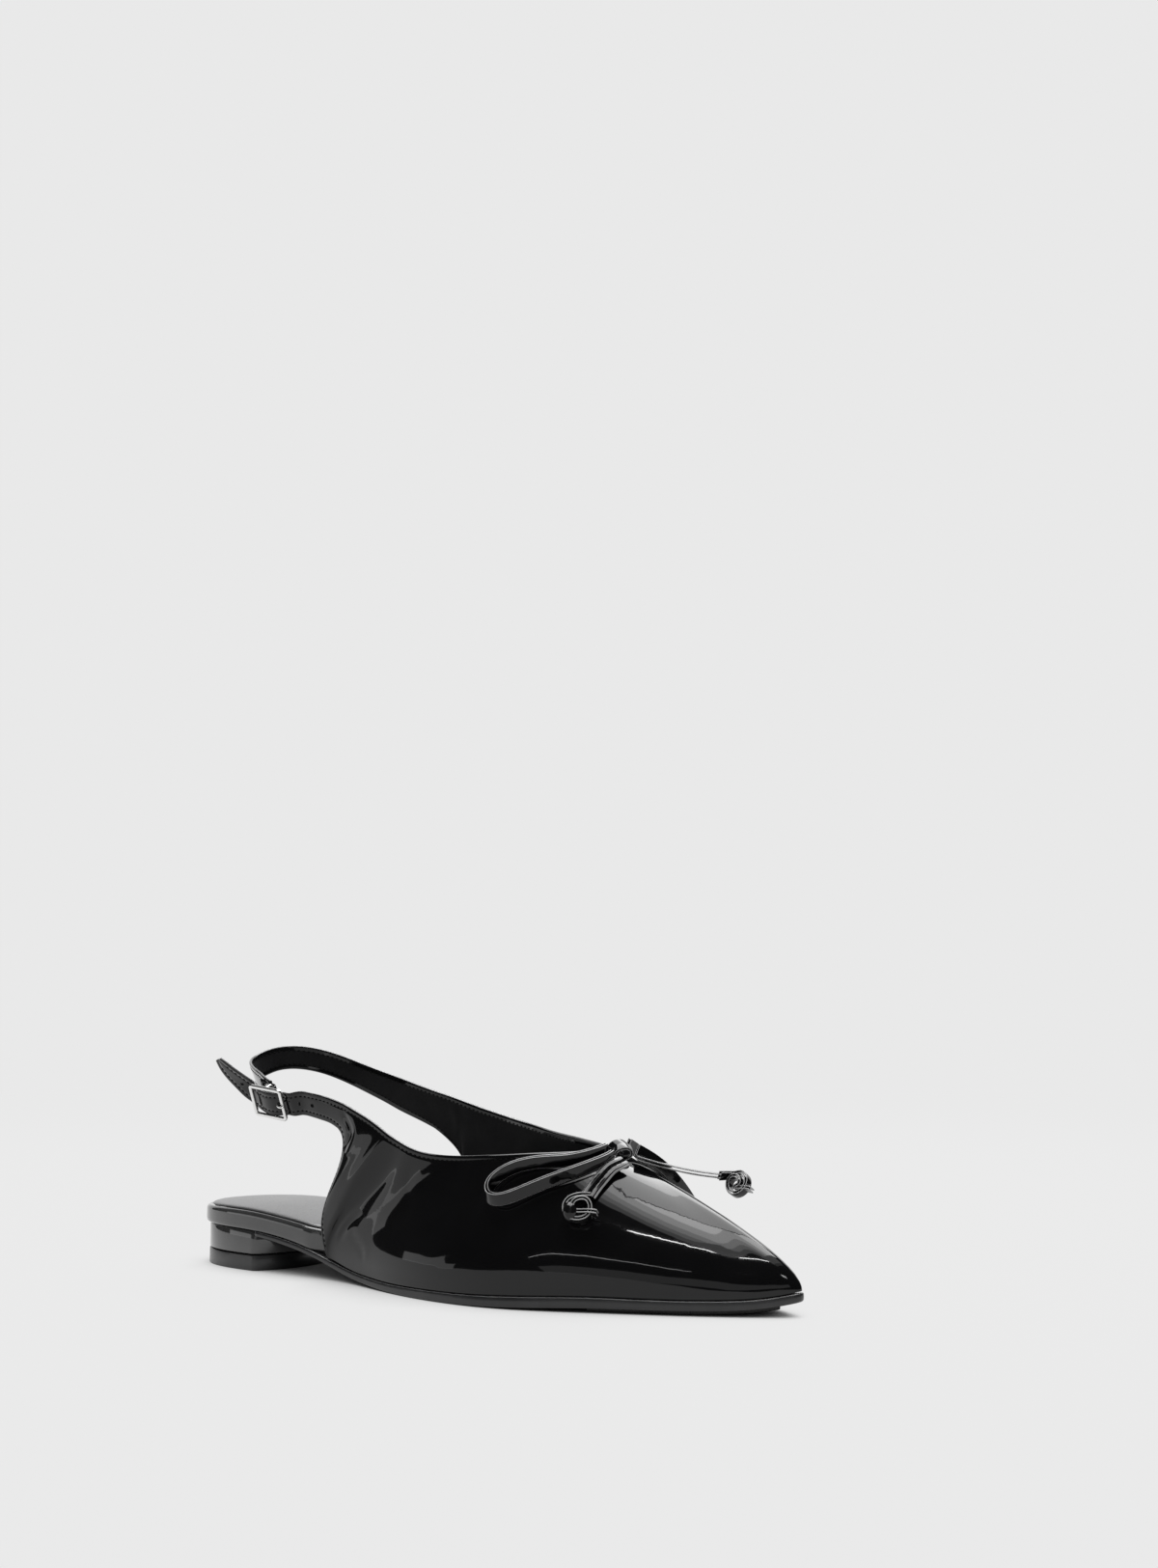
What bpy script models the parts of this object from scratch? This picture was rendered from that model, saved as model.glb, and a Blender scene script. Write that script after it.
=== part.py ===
# Pointed flat slingback shoe for the right foot, standing empty on its sole.
#
# Everything is worked out in millimetres in the last's own coordinates: x runs
# from the back of the heel seat (0) to the point of the toe (265), y is to the
# medial side (the wearer's left), z is up from the floor.  Meshes are turned
# into metres when they are made, with the origin at the middle of the heel's
# top lift, on the floor.

import bpy
import bmesh
import math
import numpy as np
from mathutils import Vector

# ----------------------------------------------------------------- named sizes
MM = 0.001
HEEL_CENTRE = 22.0      # x of the origin: middle of the top lift
LENGTH = 265.2          # heel seat to point of toe
LIFT_TOP = 5.9          # top lift, floor to joint
BLOCK_FOOT = 6.2        # heel block starts here
HEEL_INSET = 1.5        # heel block and lift stand this far inside the seat
BREAST_X = 41.6         # front corners of the heel
BREAST_BULGE = 8.8      # the breast bows forward this much at its middle
BREAST_CORNER = 1.8     # rounding of the block's front corners
WALL = 1.6              # upper: patent leather and lining
STRAP_T = 1.2           # strap thickness
GAP = 0.3               # between neighbouring pieces
FEATHER_INSET = 0.5     # the upper's lower edge stands this far inside the sole edge
BOARD_INSET = 3.0       # insole board, inside the upper
SOCK_T = 1.0            # sock on the board
SOCK_INSET = 2.4
TREAD_DROP = 1.35       # forefoot tread patch below the outsole at its edge
TREAD_INSET = 3.2
TREAD_FLAT = (206.0, 237.0)   # x of the flat spot under the forefoot
TREAD_X = (199.0, 256.5)      # where the patch starts and ends
TIP_Y = 2.6
FRAME_L, FRAME_H = 17.7, 13.6  # buckle frame
FRAME_W = 1.5           # wire width and thickness
STRAP_W = 9.8           # lateral strap
BOW_W = 4.4             # width of the bow's strip
BOW_T = 1.5             # two layers of patent, edges cut

# --------------------------------------------------------------- short tables
# Plan of the last at the feather line: x along the shoe, y to the side.
LATERAL = [  # x, y
    (0.0, 0.0), (1.5, -7.0), (5.0, -13.5), (12.0, -19.5), (22.0, -23.5),
    (35.0, -25.5), (60.0, -26.0), (88.0, -27.2), (104.0, -31.3), (118.0, -35.8),
    (132.0, -39.3), (146.0, -41.3), (160.0, -41.6), (174.0, -39.6),
    (188.0, -35.2), (202.0, -29.8), (216.0, -24.1), (230.0, -18.0),
    (243.0, -11.6), (254.0, -5.6), (261.5, -1.4), (264.4, 0.4), (265.2, 2.6)]
MEDIAL = [  # x, y
    (0.0, 0.0), (1.5, 7.0), (5.0, 13.5), (12.0, 19.5), (22.0, 23.5),
    (35.0, 25.3), (60.0, 24.0), (88.0, 20.8), (104.0, 20.2), (118.0, 21.4),
    (134.0, 25.2), (150.0, 30.6), (165.0, 35.2), (179.0, 37.6), (192.0, 36.6),
    (206.0, 32.8), (220.0, 27.4), (233.0, 21.8), (245.0, 16.0), (254.5, 11.0),
    (261.5, 6.8), (264.4, 4.8), (265.2, 2.6)]

# Heights along the shoe: x, underside of the outsole, seam between outsole and
# what stands on it, top of the insole board.
PROFILE = [  # x, under, seam, foot
    (-4.0, 13.9, 16.3, 22.4),
    (20.0, 13.8, 15.9, 23.0),
    (42.0, 13.5, 15.3, 22.6),
    (53.0, 12.0, 14.2, 21.5),
    (64.0, 9.9, 12.3, 20.0),
    (76.0, 6.8, 9.2, 17.8),
    (84.0, 4.4, 6.9, 15.9),
    (92.0, 2.4, 5.1, 13.9),
    (104.0, 0.8, 3.7, 11.3),
    (118.0, 0.1, 3.2, 9.2),
    (134.0, 0.0, 3.3, 7.6),
    (160.0, 0.1, 3.8, 6.9),
    (185.0, 0.9, 4.7, 7.6),
    (200.0, 1.35, 5.1, 8.0),
    (225.0, 1.45, 4.9, 7.9),
    (240.0, 1.7, 5.1, 8.1),
    (250.0, 2.3, 5.6, 8.5),
    (258.0, 3.5, 6.7, 9.6),
    (266.0, 5.4, 8.5, 11.4)]

# Ribs of the upper, in order from the lateral strap root, round the toe, to the
# medial strap root.  A rib runs from its low point to its point on the topline.
# Free ribs start on the quarter's cut back edge.
#   low x, y, z, top x, y, z, belly (how far the rib bows out)
LATERAL_EDGE = [
    (80.0, -26.6, 58.9, 80.8, -28.1, 68.1, 0.2),
    (84.5, -27.3, 57.2, 89.0, -29.1, 66.3, 0.4),
    (88.3, -28.0, 54.2, 94.0, -29.8, 64.8, 0.6),
    (89.5, -28.6, 49.0, 98.3, -30.3, 63.3, 0.9),
    (87.3, -28.9, 41.0, 102.8, -30.8, 61.6, 1.3),
    (82.6, -28.9, 31.5, 107.5, -31.2, 59.5, 1.9),
    (79.2, -28.4, 21.0, 111.4, -31.6, 57.5, 2.4),
    (79.3, -27.3, 13.4, 114.4, -31.8, 55.9, 2.9)]
# Ribs that stand on the sole: side (-1 lateral, 1 medial), x on the feather
# line, topline point, then the shape of the wall: rise and flare at the foot,
# reach and drop below the topline.
SOLE_RIBS = [  # side, sole_x, top_x, top_y, top_z, rise, flare, reach, drop
    (-1, 80.5, 117.0, -31.9, 54.6, 14.0, 3.0, 3.0, 15.0),
    (-1, 91.0, 123.0, -32.1, 52.2, 15.0, 3.4, 3.0, 15.0),
    (-1, 104.0, 130.0, -32.0, 50.4, 15.0, 3.4, 3.0, 15.0),
    (-1, 118.0, 138.0, -31.7, 49.7, 15.0, 3.2, 3.0, 15.0),
    (-1, 134.0, 147.0, -31.1, 49.8, 15.0, 3.0, 3.0, 15.0),
    (-1, 150.0, 157.0, -30.2, 50.5, 15.0, 3.0, 3.5, 15.0),
    (-1, 166.0, 166.5, -28.5, 51.2, 15.0, 3.0, 4.5, 14.5),
    (-1, 181.0, 174.5, -25.3, 51.8, 15.0, 3.2, 6.0, 14.0),
    (-1, 195.0, 181.0, -20.8, 52.1, 14.5, 3.2, 8.5, 13.5),
    (-1, 208.0, 185.0, -16.4, 52.3, 14.0, 3.2, 12.0, 13.0),
    (-1, 220.0, 188.0, -12.2, 52.2, 13.5, 3.0, 16.0, 12.5),
    (-1, 231.0, 190.2, -8.5, 51.9, 13.0, 2.6, 20.0, 12.3),
    (-1, 241.0, 191.7, -5.4, 51.5, 12.3, 2.2, 23.5, 12.3),
    (-1, 250.0, 192.6, -2.7, 51.2, 11.5, 1.8, 26.5, 12.5),
    (-1, 258.0, 193.0, -0.7, 51.0, 10.8, 1.4, 29.5, 13.2),
    (1, 265.2, 193.0, 0.9, 50.9, 10.0, 1.0, 32.0, 14.0),
    (1, 258.0, 192.7, 2.5, 51.0, 10.8, 1.4, 29.5, 13.2),
    (1, 250.0, 191.9, 4.2, 51.2, 11.5, 1.8, 26.5, 12.5),
    (1, 241.0, 190.2, 6.1, 51.5, 12.3, 2.2, 23.5, 12.3),
    (1, 231.0, 187.4, 8.1, 51.9, 13.0, 2.6, 20.0, 12.3),
    (1, 220.0, 183.6, 10.0, 52.4, 13.5, 3.0, 16.5, 12.5),
    (1, 208.0, 179.5, 11.9, 52.9, 14.0, 3.2, 13.0, 13.0),
    (1, 195.0, 173.0, 14.3, 53.6, 14.5, 3.2, 10.0, 13.5),
    (1, 181.0, 165.5, 17.2, 54.3, 15.0, 3.2, 7.5, 14.0),
    (1, 166.0, 157.5, 20.3, 54.9, 15.5, 3.2, 5.5, 15.0),
    (1, 151.0, 149.0, 23.4, 55.7, 16.0, 3.4, 3.5, 16.0),
    (1, 136.0, 140.0, 26.1, 57.0, 17.0, 4.2, 2.0, 17.0),
    (1, 122.0, 131.0, 27.5, 58.6, 18.0, 5.2, 1.0, 18.0),
    (1, 110.0, 123.0, 28.0, 60.3, 18.5, 6.0, 0.5, 19.0),
    (1, 101.0, 116.0, 28.1, 61.9, 18.5, 6.4, 0.0, 19.0)]
MEDIAL_EDGE = [
    (100.6, 22.0, 9.8, 113.0, 28.1, 62.6, 2.2),
    (102.2, 23.6, 16.4, 110.0, 28.1, 63.4, 1.7),
    (105.6, 26.0, 26.0, 104.6, 28.0, 64.8, 1.0),
    (106.6, 27.7, 35.5, 99.5, 27.9, 66.2, 0.7),
    (102.6, 28.3, 43.6, 94.5, 27.8, 67.4, 0.5),
    (96.6, 28.2, 49.0, 89.6, 27.6, 68.6, 0.4),
    (90.0, 27.9, 53.2, 84.6, 27.4, 69.9, 0.3),
    (83.0, 27.4, 56.6, 79.5, 27.2, 71.2, 0.3)]

# Heel strap from the medial quarter round the heel to the buckle: its upper
# edge, its width, and how far its lower edge stands out from its upper edge.
HEEL_STRAP = [  # x, y, z, width, lean
    (78.2, 27.1, 71.6, 13.6, 0.1),
    (70.0, 26.9, 73.7, 12.0, 0.0),
    (60.0, 26.0, 76.5, 10.8, 0.0),
    (51.0, 24.7, 79.3, 10.0, 0.0),
    (42.0, 21.8, 82.4, 9.6, 0.0),
    (33.5, 17.6, 84.7, 9.5, -0.2),
    (26.0, 12.4, 85.5, 9.5, -0.6),
    (21.0, 5.8, 84.6, 9.5, -1.2),
    (19.7, -1.4, 82.6, 9.5, -2.0),
    (22.6, -9.2, 80.6, 9.5, -2.8),
    (29.2, -15.9, 78.6, 9.5, -3.6),
    (36.8, -20.6, 76.8, 9.5, -4.0),
    (43.6, -23.6, 75.2, 9.5, -4.2),
    (50.2, -25.4, 73.8, 9.5, -4.2)]

# Buckle: centre and the directions of its frame.
BUCKLE_AT = (51.4, -28.4, 65.1)
BUCKLE_FRONT = (0.993, -0.049, -0.104)
BUCKLE_UP = (0.073, -0.429, 0.900)
# Lateral strap from the quarter to the buckle: middle line, then through the
# frame along its own length: s towards the toe from the centre bar, out from
# the frame's middle plane, up along it, and the strap's own turn (the across
# direction, in the same three directions).
STRAP_ROOT = [  # x, y, z
    (79.5, -26.8, 63.6),
    (76.1, -26.6, 64.2),
    (71.7, -26.2, 64.8),
    (65.8, -26.4, 65.2)]
STRAP_RUN = [  # s, out, up, across s, across out, across up
    (11.0, -1.95, -0.4, 0.0, 0.0, 1.0),
    (8.0, -1.95, -0.3, 0.0, 0.0, 1.0),
    (4.0, -1.25, -0.2, 0.0, 0.0, 1.0),
    (0.0, -0.75, 0.0, 0.0, 0.0, 1.0),
    (-4.0, -1.25, 0.2, 0.0, 0.0, 1.0),
    (-8.0, -2.1, 0.5, 0.02, 0.0, 1.0),
    (-10.6, -2.5, 1.5, 0.1, 0.0, 1.0),
    (-13.3, -2.0, 4.3, 0.7, -0.04, 0.68),
    (-15.3, -0.1, 8.6, 0.9, -0.02, 0.44),
    (-17.2, 1.8, 13.2, 0.92, 0.06, 0.39),
    (-19.0, 2.9, 17.6, 0.93, 0.11, 0.35)]

# The bow: middle lines of the strip, and the direction across it.
LOOP_LATERAL = [  # x, y, z
    (194.6, -8.6, 52.7), (193.8, -12.4, 51.9), (191.0, -18.3, 50.6),
    (187.1, -22.4, 49.7), (179.9, -27.3, 49.1), (172.0, -31.8, 47.3),
    (166.6, -34.9, 44.0), (164.4, -37.2, 39.9), (165.4, -38.3, 37.2),
    (168.4, -38.3, 36.5), (171.4, -37.4, 37.0), (176.9, -34.3, 39.3),
    (184.1, -29.3, 42.8), (190.6, -23.3, 45.8), (195.2, -16.7, 48.2),
    (197.0, -12.0, 49.6), (197.4, -8.9, 50.6)]
LOOP_MEDIAL = [  # x, y, z
    (200.4, 2.6, 51.8), (204.4, 9.0, 47.4), (208.0, 15.5, 41.0),
    (210.4, 22.0, 33.2), (210.2, 27.0, 26.2), (207.0, 29.2, 24.6),
    (203.0, 27.8, 29.2), (199.6, 22.6, 37.6), (197.2, 16.2, 45.1),
    (196.2, 9.4, 50.8), (196.4, 2.9, 53.6)]
TAIL_LATERAL = [  # x, y, z
    (201.5, -7.9, 48.9), (201.1, -10.0, 48.2), (199.9, -13.0, 47.1),
    (198.8, -17.4, 44.1), (197.5, -21.5, 40.3), (197.0, -23.8, 38.0)]
TAIL_MEDIAL = [  # x, y, z
    (202.4, -0.6, 49.6), (205.6, 2.0, 48.3), (209.6, 5.4, 46.8),
    (217.6, 11.8, 44.4), (225.2, 17.9, 43.0)]
LOOP_ACROSS_L = (0.10, -0.35, 0.93)
LOOP_ACROSS_M = (0.20, 0.55, 0.81)
TAIL_ACROSS_L = (0.86, -0.20, -0.10)
TAIL_ACROSS_M = (-0.55, 0.83, 0.0)
KNOTS = [  # name, x, y, z, half along, across, out, direction out x, y, z
    ("bow_knot", 197.4, -3.2, 51.9, 4.3, 4.3, 2.7, 0.45, -0.25, 0.86),
    ("tail_knot_lateral", 196.6, -29.4, 34.4, 5.2, 4.4, 3.2, 0.38, -0.80, 0.46),
    ("tail_knot_medial", 230.9, 21.4, 40.0, 4.6, 4.6, 3.8, -0.40, -0.60, 0.69)]


# ------------------------------------------------------------------ small maths
def spline(knots, values, at):
    """Natural cubic spline through the rows of values, read at `at`."""
    k = np.asarray(knots, float)
    v = np.asarray(values, float)
    flat = v.ndim == 1
    if flat:
        v = v[:, None]
    n = len(k)
    h = np.diff(k)
    a = np.zeros((n, n))
    r = np.zeros(v.shape)
    a[0, 0] = a[-1, -1] = 1.0
    for i in range(1, n - 1):
        a[i, i - 1], a[i, i], a[i, i + 1] = h[i - 1], 2 * (h[i - 1] + h[i]), h[i]
        r[i] = 6 * ((v[i + 1] - v[i]) / h[i] - (v[i] - v[i - 1]) / h[i - 1])
    m = np.linalg.solve(a, r)
    t = np.clip(np.atleast_1d(np.asarray(at, float)), k[0], k[-1])
    j = np.clip(np.searchsorted(k, t, side="right") - 1, 0, n - 2)
    hj = h[j][:, None]
    p = ((k[j + 1] - t) / h[j])[:, None]
    q = 1 - p
    out = (p * v[j] + q * v[j + 1]
           + ((p ** 3 - p) * m[j] + (q ** 3 - q) * m[j + 1]) * hj ** 2 / 6)
    return out[:, 0] if flat else out


def chord(points):
    """Running length along a row of points."""
    p = np.asarray(points, float)
    step = np.sqrt((np.diff(p, axis=0) ** 2).sum(1))
    return np.concatenate(([0.0], np.cumsum(step)))


def spread(points, count, power=1.0):
    """Points evenly spaced along a polyline."""
    p = np.asarray(points, float)
    d = chord(p)
    t = np.linspace(0, 1, count) ** power * d[-1]
    return np.stack([np.interp(t, d, p[:, i]) for i in range(p.shape[1])], 1)


def unit(v):
    v = np.asarray(v, float)
    return v / (np.linalg.norm(v, axis=-1, keepdims=True) + 1e-12)


def smooth_step(x, lo, hi):
    t = np.clip((np.asarray(x, float) - lo) / (hi - lo), 0, 1)
    return t * t * (3 - 2 * t)


_P = np.array(PROFILE)


def under(x):
    return spline(_P[:, 0], _P[:, 1], x)


def seam(x):
    return spline(_P[:, 0], _P[:, 2], x)


def foot(x):
    return spline(_P[:, 0], _P[:, 3], x)


# ------------------------------------------------------------- plan of the last
def _sides():
    """Both sides of the plan as one smooth closed curve, split at heel and toe."""
    loop = np.array(LATERAL + MEDIAL[-2:0:-1])
    k = 5
    ext = np.vstack((loop[-k:], loop, loop[:k + 1]))
    d = chord(ext)
    start, tip, end = k, k + len(LATERAL) - 1, k + len(loop)
    lat = spline(d, ext, np.linspace(d[start], d[tip], 900))
    med = spline(d, ext, np.linspace(d[end], d[tip], 900))
    return lat, med


LAT_CURVE, MED_CURVE = _sides()


def plan_point(side, x):
    """Point of the plan on one side at x, and the outward direction there."""
    c = LAT_CURVE if side < 0 else MED_CURVE
    i = int(np.argmin(np.abs(c[:, 0] - x)))
    if x >= LENGTH - 1e-6:
        return c[-1].copy(), np.array([1.0, 0.0])
    a, b = c[max(i - 4, 0)], c[min(i + 4, len(c) - 1)]
    t = unit(b - a)
    n = np.array([t[1], -t[0]]) if side < 0 else np.array([-t[1], t[0]])
    return np.array([x, np.interp(x, c[:, 0], c[:, 1])]), n


def closed_plan(count):
    """Closed plan with 2*count points, heel first, lateral side, toe, medial."""
    lat = spread(LAT_CURVE, count + 1)
    med = spread(MED_CURVE, count + 1)
    return np.vstack((lat, med[-2:0:-1]))


def inward(loop):
    t = unit(np.roll(loop, -1, 0) - np.roll(loop, 1, 0))
    return np.stack((-t[:, 1], t[:, 0]), 1)


def inset(loop, amount):
    return loop + inward(loop) * np.reshape(amount, (-1, 1))


def breast_arc(count, grow=0.0):
    """Half of the heel's bowed breast, lateral corner to the middle."""
    half = 24.2
    r = (half ** 2 + BREAST_BULGE ** 2) / (2 * BREAST_BULGE)
    cx = BREAST_X + BREAST_BULGE - r
    a = np.linspace(math.asin(half / r), 0, count)
    return np.stack((cx + (r + grow) * np.cos(a), -(r + grow) * np.sin(a)), 1)


# -------------------------------------------------------------------- meshing
ROOT = bpy.data.objects


def clear_scene():
    for ob in list(bpy.data.objects):
        bpy.data.objects.remove(ob, do_unlink=True)


MATERIALS = {}


def material(name, colour, roughness, metallic=0.0):
    if name not in MATERIALS:
        m = bpy.data.materials.new(name)
        m.use_nodes = True
        b = m.node_tree.nodes["Principled BSDF"]
        b.inputs["Base Color"].default_value = (*colour, 1.0)
        b.inputs["Roughness"].default_value = roughness
        b.inputs["Metallic"].default_value = metallic
        MATERIALS[name] = m
    return MATERIALS[name]


def make(name, verts_mm, faces, mat, parent, sharp=35.0):
    """One named object from millimetre points, its origin at its own middle."""
    v = np.asarray(verts_mm, float).copy()
    v[:, 0] -= HEEL_CENTRE
    v *= MM
    mid = (v.min(0) + v.max(0)) / 2
    mesh = bpy.data.meshes.new(name)
    mesh.from_pydata([tuple(p) for p in (v - mid)], [], [tuple(f) for f in faces])
    bm = bmesh.new()
    bm.from_mesh(mesh)
    bmesh.ops.remove_doubles(bm, verts=bm.verts, dist=1e-6)
    bmesh.ops.recalc_face_normals(bm, faces=bm.faces)
    bm.to_mesh(mesh)
    bm.free()
    mesh.shade_smooth()
    mesh.set_sharp_from_angle(angle=math.radians(sharp))
    mesh.materials.append(mat)
    ob = bpy.data.objects.new(name, mesh)
    bpy.context.scene.collection.objects.link(ob)
    ob.location = Vector(mid)
    ob.parent = parent
    return ob


def stack(rings):
    """Solid from closed rings of equal count: first and last ring are zipped
    across between their two halves, the others are joined in turn."""
    n = len(rings[0])
    verts = np.vstack(rings)
    faces = []
    for r in range(len(rings) - 1):
        for i in range(n):
            j = (i + 1) % n
            faces.append((r * n + i, r * n + j, (r + 1) * n + j, (r + 1) * n + i))
    half = n // 2
    for base, flip in ((0, True), ((len(rings) - 1) * n, False)):
        for i in range(half):
            a, b = base + i, base + i + 1
            c, d = base + (n - i - 1) % n, base + (n - i) % n
            quad = [a, b, c, d] if i else [a, b, c]
            if i == half - 1:
                quad = [a, b, d] if i else [a, b]
            if len(set(quad)) > 2:
                faces.append(tuple(quad[::-1] if flip else quad))
    return verts, faces


def plate(loop, steps):
    """Rings of a flat piece.  steps: (inset, shrink, height function)."""
    mid_lo, mid_hi = loop[:, 0].min(), loop[:, 0].max()
    rings = []
    n = len(loop)
    half = n // 2
    for ins, shrink, height in steps:
        p = inset(loop, ins) if np.ndim(ins) or ins else loop.copy()
        if shrink < 1:
            mate = p[(n - np.arange(n)) % n]
            sy = (p[:, 1] + mate[:, 1]) / 2
            sx = np.clip(p[:, 0], mid_lo + 16, mid_hi - 22)
            sx = (sx + sx[(n - np.arange(n)) % n]) / 2
            p = np.stack((sx, sy), 1) * (1 - shrink) + p * shrink
        rings.append(np.column_stack((p, height(p[:, 0], p[:, 1]))))
    return stack(rings)


def shell(outer, thick):
    """Closed wall from a grid of outer points (rows along, columns up)."""
    nu, nv = outer.shape[:2]
    du = np.gradient(outer, axis=0)
    dv = np.gradient(outer, axis=1)
    nrm = unit(np.cross(du, dv))
    inner = outer - nrm * thick
    verts = np.vstack((outer.reshape(-1, 3), inner.reshape(-1, 3)))
    off = nu * nv
    faces = []
    for i in range(nu - 1):
        for j in range(nv - 1):
            a, b = i * nv + j, (i + 1) * nv + j
            faces.append((a, b, b + 1, a + 1))
            faces.append((off + a, off + a + 1, off + b + 1, off + b))
    for i in range(nu - 1):
        for j in (0, nv - 1):
            a, b = i * nv + j, (i + 1) * nv + j
            faces.append((a, off + a, off + b, b))
    for i in (0, nu - 1):
        for j in range(nv - 1):
            a = i * nv + j
            faces.append((a, a + 1, off + a + 1, off + a))
    return verts, faces


def band(path, normal, across, width, thick):
    """Flat strip along a path: rectangular section, closed ends."""
    n, w, c = np.asarray(path), unit(normal), unit(across)
    wd = np.reshape(width, (-1, 1)) * np.ones((len(n), 1)) / 2
    t = thick / 2
    rings = [n + w * t - c * wd, n + w * t + c * wd,
             n - w * t + c * wd, n - w * t - c * wd]
    count = len(n)
    verts = np.vstack(rings)
    faces = []
    for k in range(4):
        m = (k + 1) % 4
        for i in range(count - 1):
            faces.append((k * count + i, k * count + i + 1,
                          m * count + i + 1, m * count + i))
    faces.append((0, count, 2 * count, 3 * count))
    faces.append((count - 1, 4 * count - 1, 3 * count - 1, 2 * count - 1))
    return verts, faces


def pebble(middle, half, face, around, high):
    """Rounded lump: rings of a superellipsoid with a point at each pole."""
    rings = []
    for lat in np.linspace(-math.pi / 2, math.pi / 2, high + 2)[1:-1]:
        a = np.linspace(0, 2 * math.pi, around, endpoint=False)
        r, z = abs(math.cos(lat)) ** 0.8, math.copysign(abs(math.sin(lat)) ** 0.9, lat)
        rings.append(np.column_stack((r * np.cos(a), r * np.sin(a), np.full(around, z))))
    verts = np.vstack(rings + [np.array([[0, 0, -1.0], [0, 0, 1.0]])])
    lo, hi = len(verts) - 2, len(verts) - 1
    faces = []
    for k in range(high - 1):
        for i in range(around):
            j = (i + 1) % around
            faces.append((k * around + i, k * around + j, (k + 1) * around + j, (k + 1) * around + i))
    for i in range(around):
        j = (i + 1) % around
        faces.append((lo, j, i))
        faces.append((hi, (high - 1) * around + i, (high - 1) * around + j))
    n = unit(face)
    a = unit(np.cross([0, 0, 1.0], n))
    axes = np.stack((a, np.cross(n, a), n))
    return (verts * np.array(half)) @ axes + np.array(middle), faces


# ------------------------------------------------------------------- the upper
def upper_ribs():
    """Four control points for each rib, lateral root to medial root."""
    ribs = []
    for row in LATERAL_EDGE + MEDIAL_EDGE:
        low, top, belly = np.array(row[:3]), np.array(row[3:6]), row[6]
        out = np.array([0.0, math.copysign(1.0, low[1]), 0.0])
        ribs.append((low, low + (top - low) / 3 + out * belly,
                     low + (top - low) * 2 / 3 + out * belly, top))
    edge_l, edge_m = ribs[:len(LATERAL_EDGE)], ribs[len(LATERAL_EDGE):]
    sole = []
    for side, sx, tx, ty, tz, rise, flare, reach, drop in SOLE_RIBS:
        p, n = plan_point(side, sx)
        p = p - n * FEATHER_INSET
        low = np.array([p[0], p[1], seam(p[0])[0] + GAP])
        top = np.array([tx, ty, tz])
        toward = unit(np.array([low[0] - top[0], low[1] - top[1], 0.0]))
        sole.append((low, low + np.array([n[0] * flare, n[1] * flare, rise]),
                     top + toward * reach - np.array([0, 0, drop]), top))
    return np.array(edge_l + sole + edge_m)


def rib_places(ribs):
    """Parameter of each rib: running mean distance between rib middles."""
    m = (ribs[:, 0] + ribs[:, 1] * 3 + ribs[:, 2] * 3 + ribs[:, 3]) / 8
    low, top = ribs[:, 0], ribs[:, 3]
    step = (np.linalg.norm(np.diff(m, axis=0), axis=1)
            + np.linalg.norm(np.diff(low, axis=0), axis=1)
            + np.linalg.norm(np.diff(top, axis=0), axis=1)) / 3
    return np.concatenate(([0.0], np.cumsum(step)))


def upper_surface(nu, nv):
    """Grid of points on the outside of the upper."""
    ribs = upper_ribs()
    at = rib_places(ribs)
    u = np.linspace(at[0], at[-1], nu)
    c = spline(at, ribs.reshape(len(ribs), 12), u).reshape(nu, 4, 3)
    first, last = len(LATERAL_EDGE), len(LATERAL_EDGE) + len(SOLE_RIBS) - 1
    stands = (u > at[first]) & (u < at[last])
    lift = np.where(stands, seam(c[:, 0, 0]) + GAP - c[:, 0, 2], 0.0)
    c[:, 0, 2] += lift
    c[:, 1, 2] += lift * 0.6
    t = np.linspace(0, 1, nv)[None, :, None]
    return ((1 - t) ** 3 * c[:, None, 0] + 3 * t * (1 - t) ** 2 * c[:, None, 1]
            + 3 * t * t * (1 - t) * c[:, None, 2] + t ** 3 * c[:, None, 3])


# ------------------------------------------------------------------ the straps
def heel_strap_surface(count, cols):
    """Outside of the heel strap, medial root to buckle, lower to upper edge."""
    h = np.array(HEEL_STRAP)
    d = chord(h[:, :3])
    s = np.linspace(0, d[-1], count)
    r = spline(d, h, s)
    top, width, lean = r[:, :3], r[:, 3:4], r[:, 4:5]
    along = unit(np.gradient(top, axis=0))
    # the strap runs medial side, heel, lateral side: outward is to its right
    out = unit(np.stack((along[:, 1], -along[:, 0], np.zeros(count)), 1))
    mid = np.array([36.0, 2.0, 0.0])
    flip = np.sign(((top - mid) * out * [1, 1, 0]).sum(1, keepdims=True))
    out = out * np.where(flip == 0, 1, np.sign(np.median(flip)))
    down = unit(np.cross(along, out))
    down = down * -np.sign(down[:, 2:3])
    low = top + down * width + out * lean
    t = np.linspace(0, 1, cols)[None, :, None]
    return low[:, None] * (1 - t) + top[:, None] * t, out


def buckle_axes():
    f = unit(BUCKLE_FRONT)
    u = np.asarray(BUCKLE_UP, float)
    u = unit(u - f * (u @ f))
    o = unit(np.cross(f, u))
    if o[1] > 0:
        o = -o
    return np.array(BUCKLE_AT), f, u, o


def in_buckle(rows):
    """Points given in the buckle's own directions: s, out, up."""
    at, f, u, o = buckle_axes()
    r = np.atleast_2d(np.asarray(rows, float))
    return at + r[:, :1] * f + r[:, 1:2] * o + r[:, 2:3] * u


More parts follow.
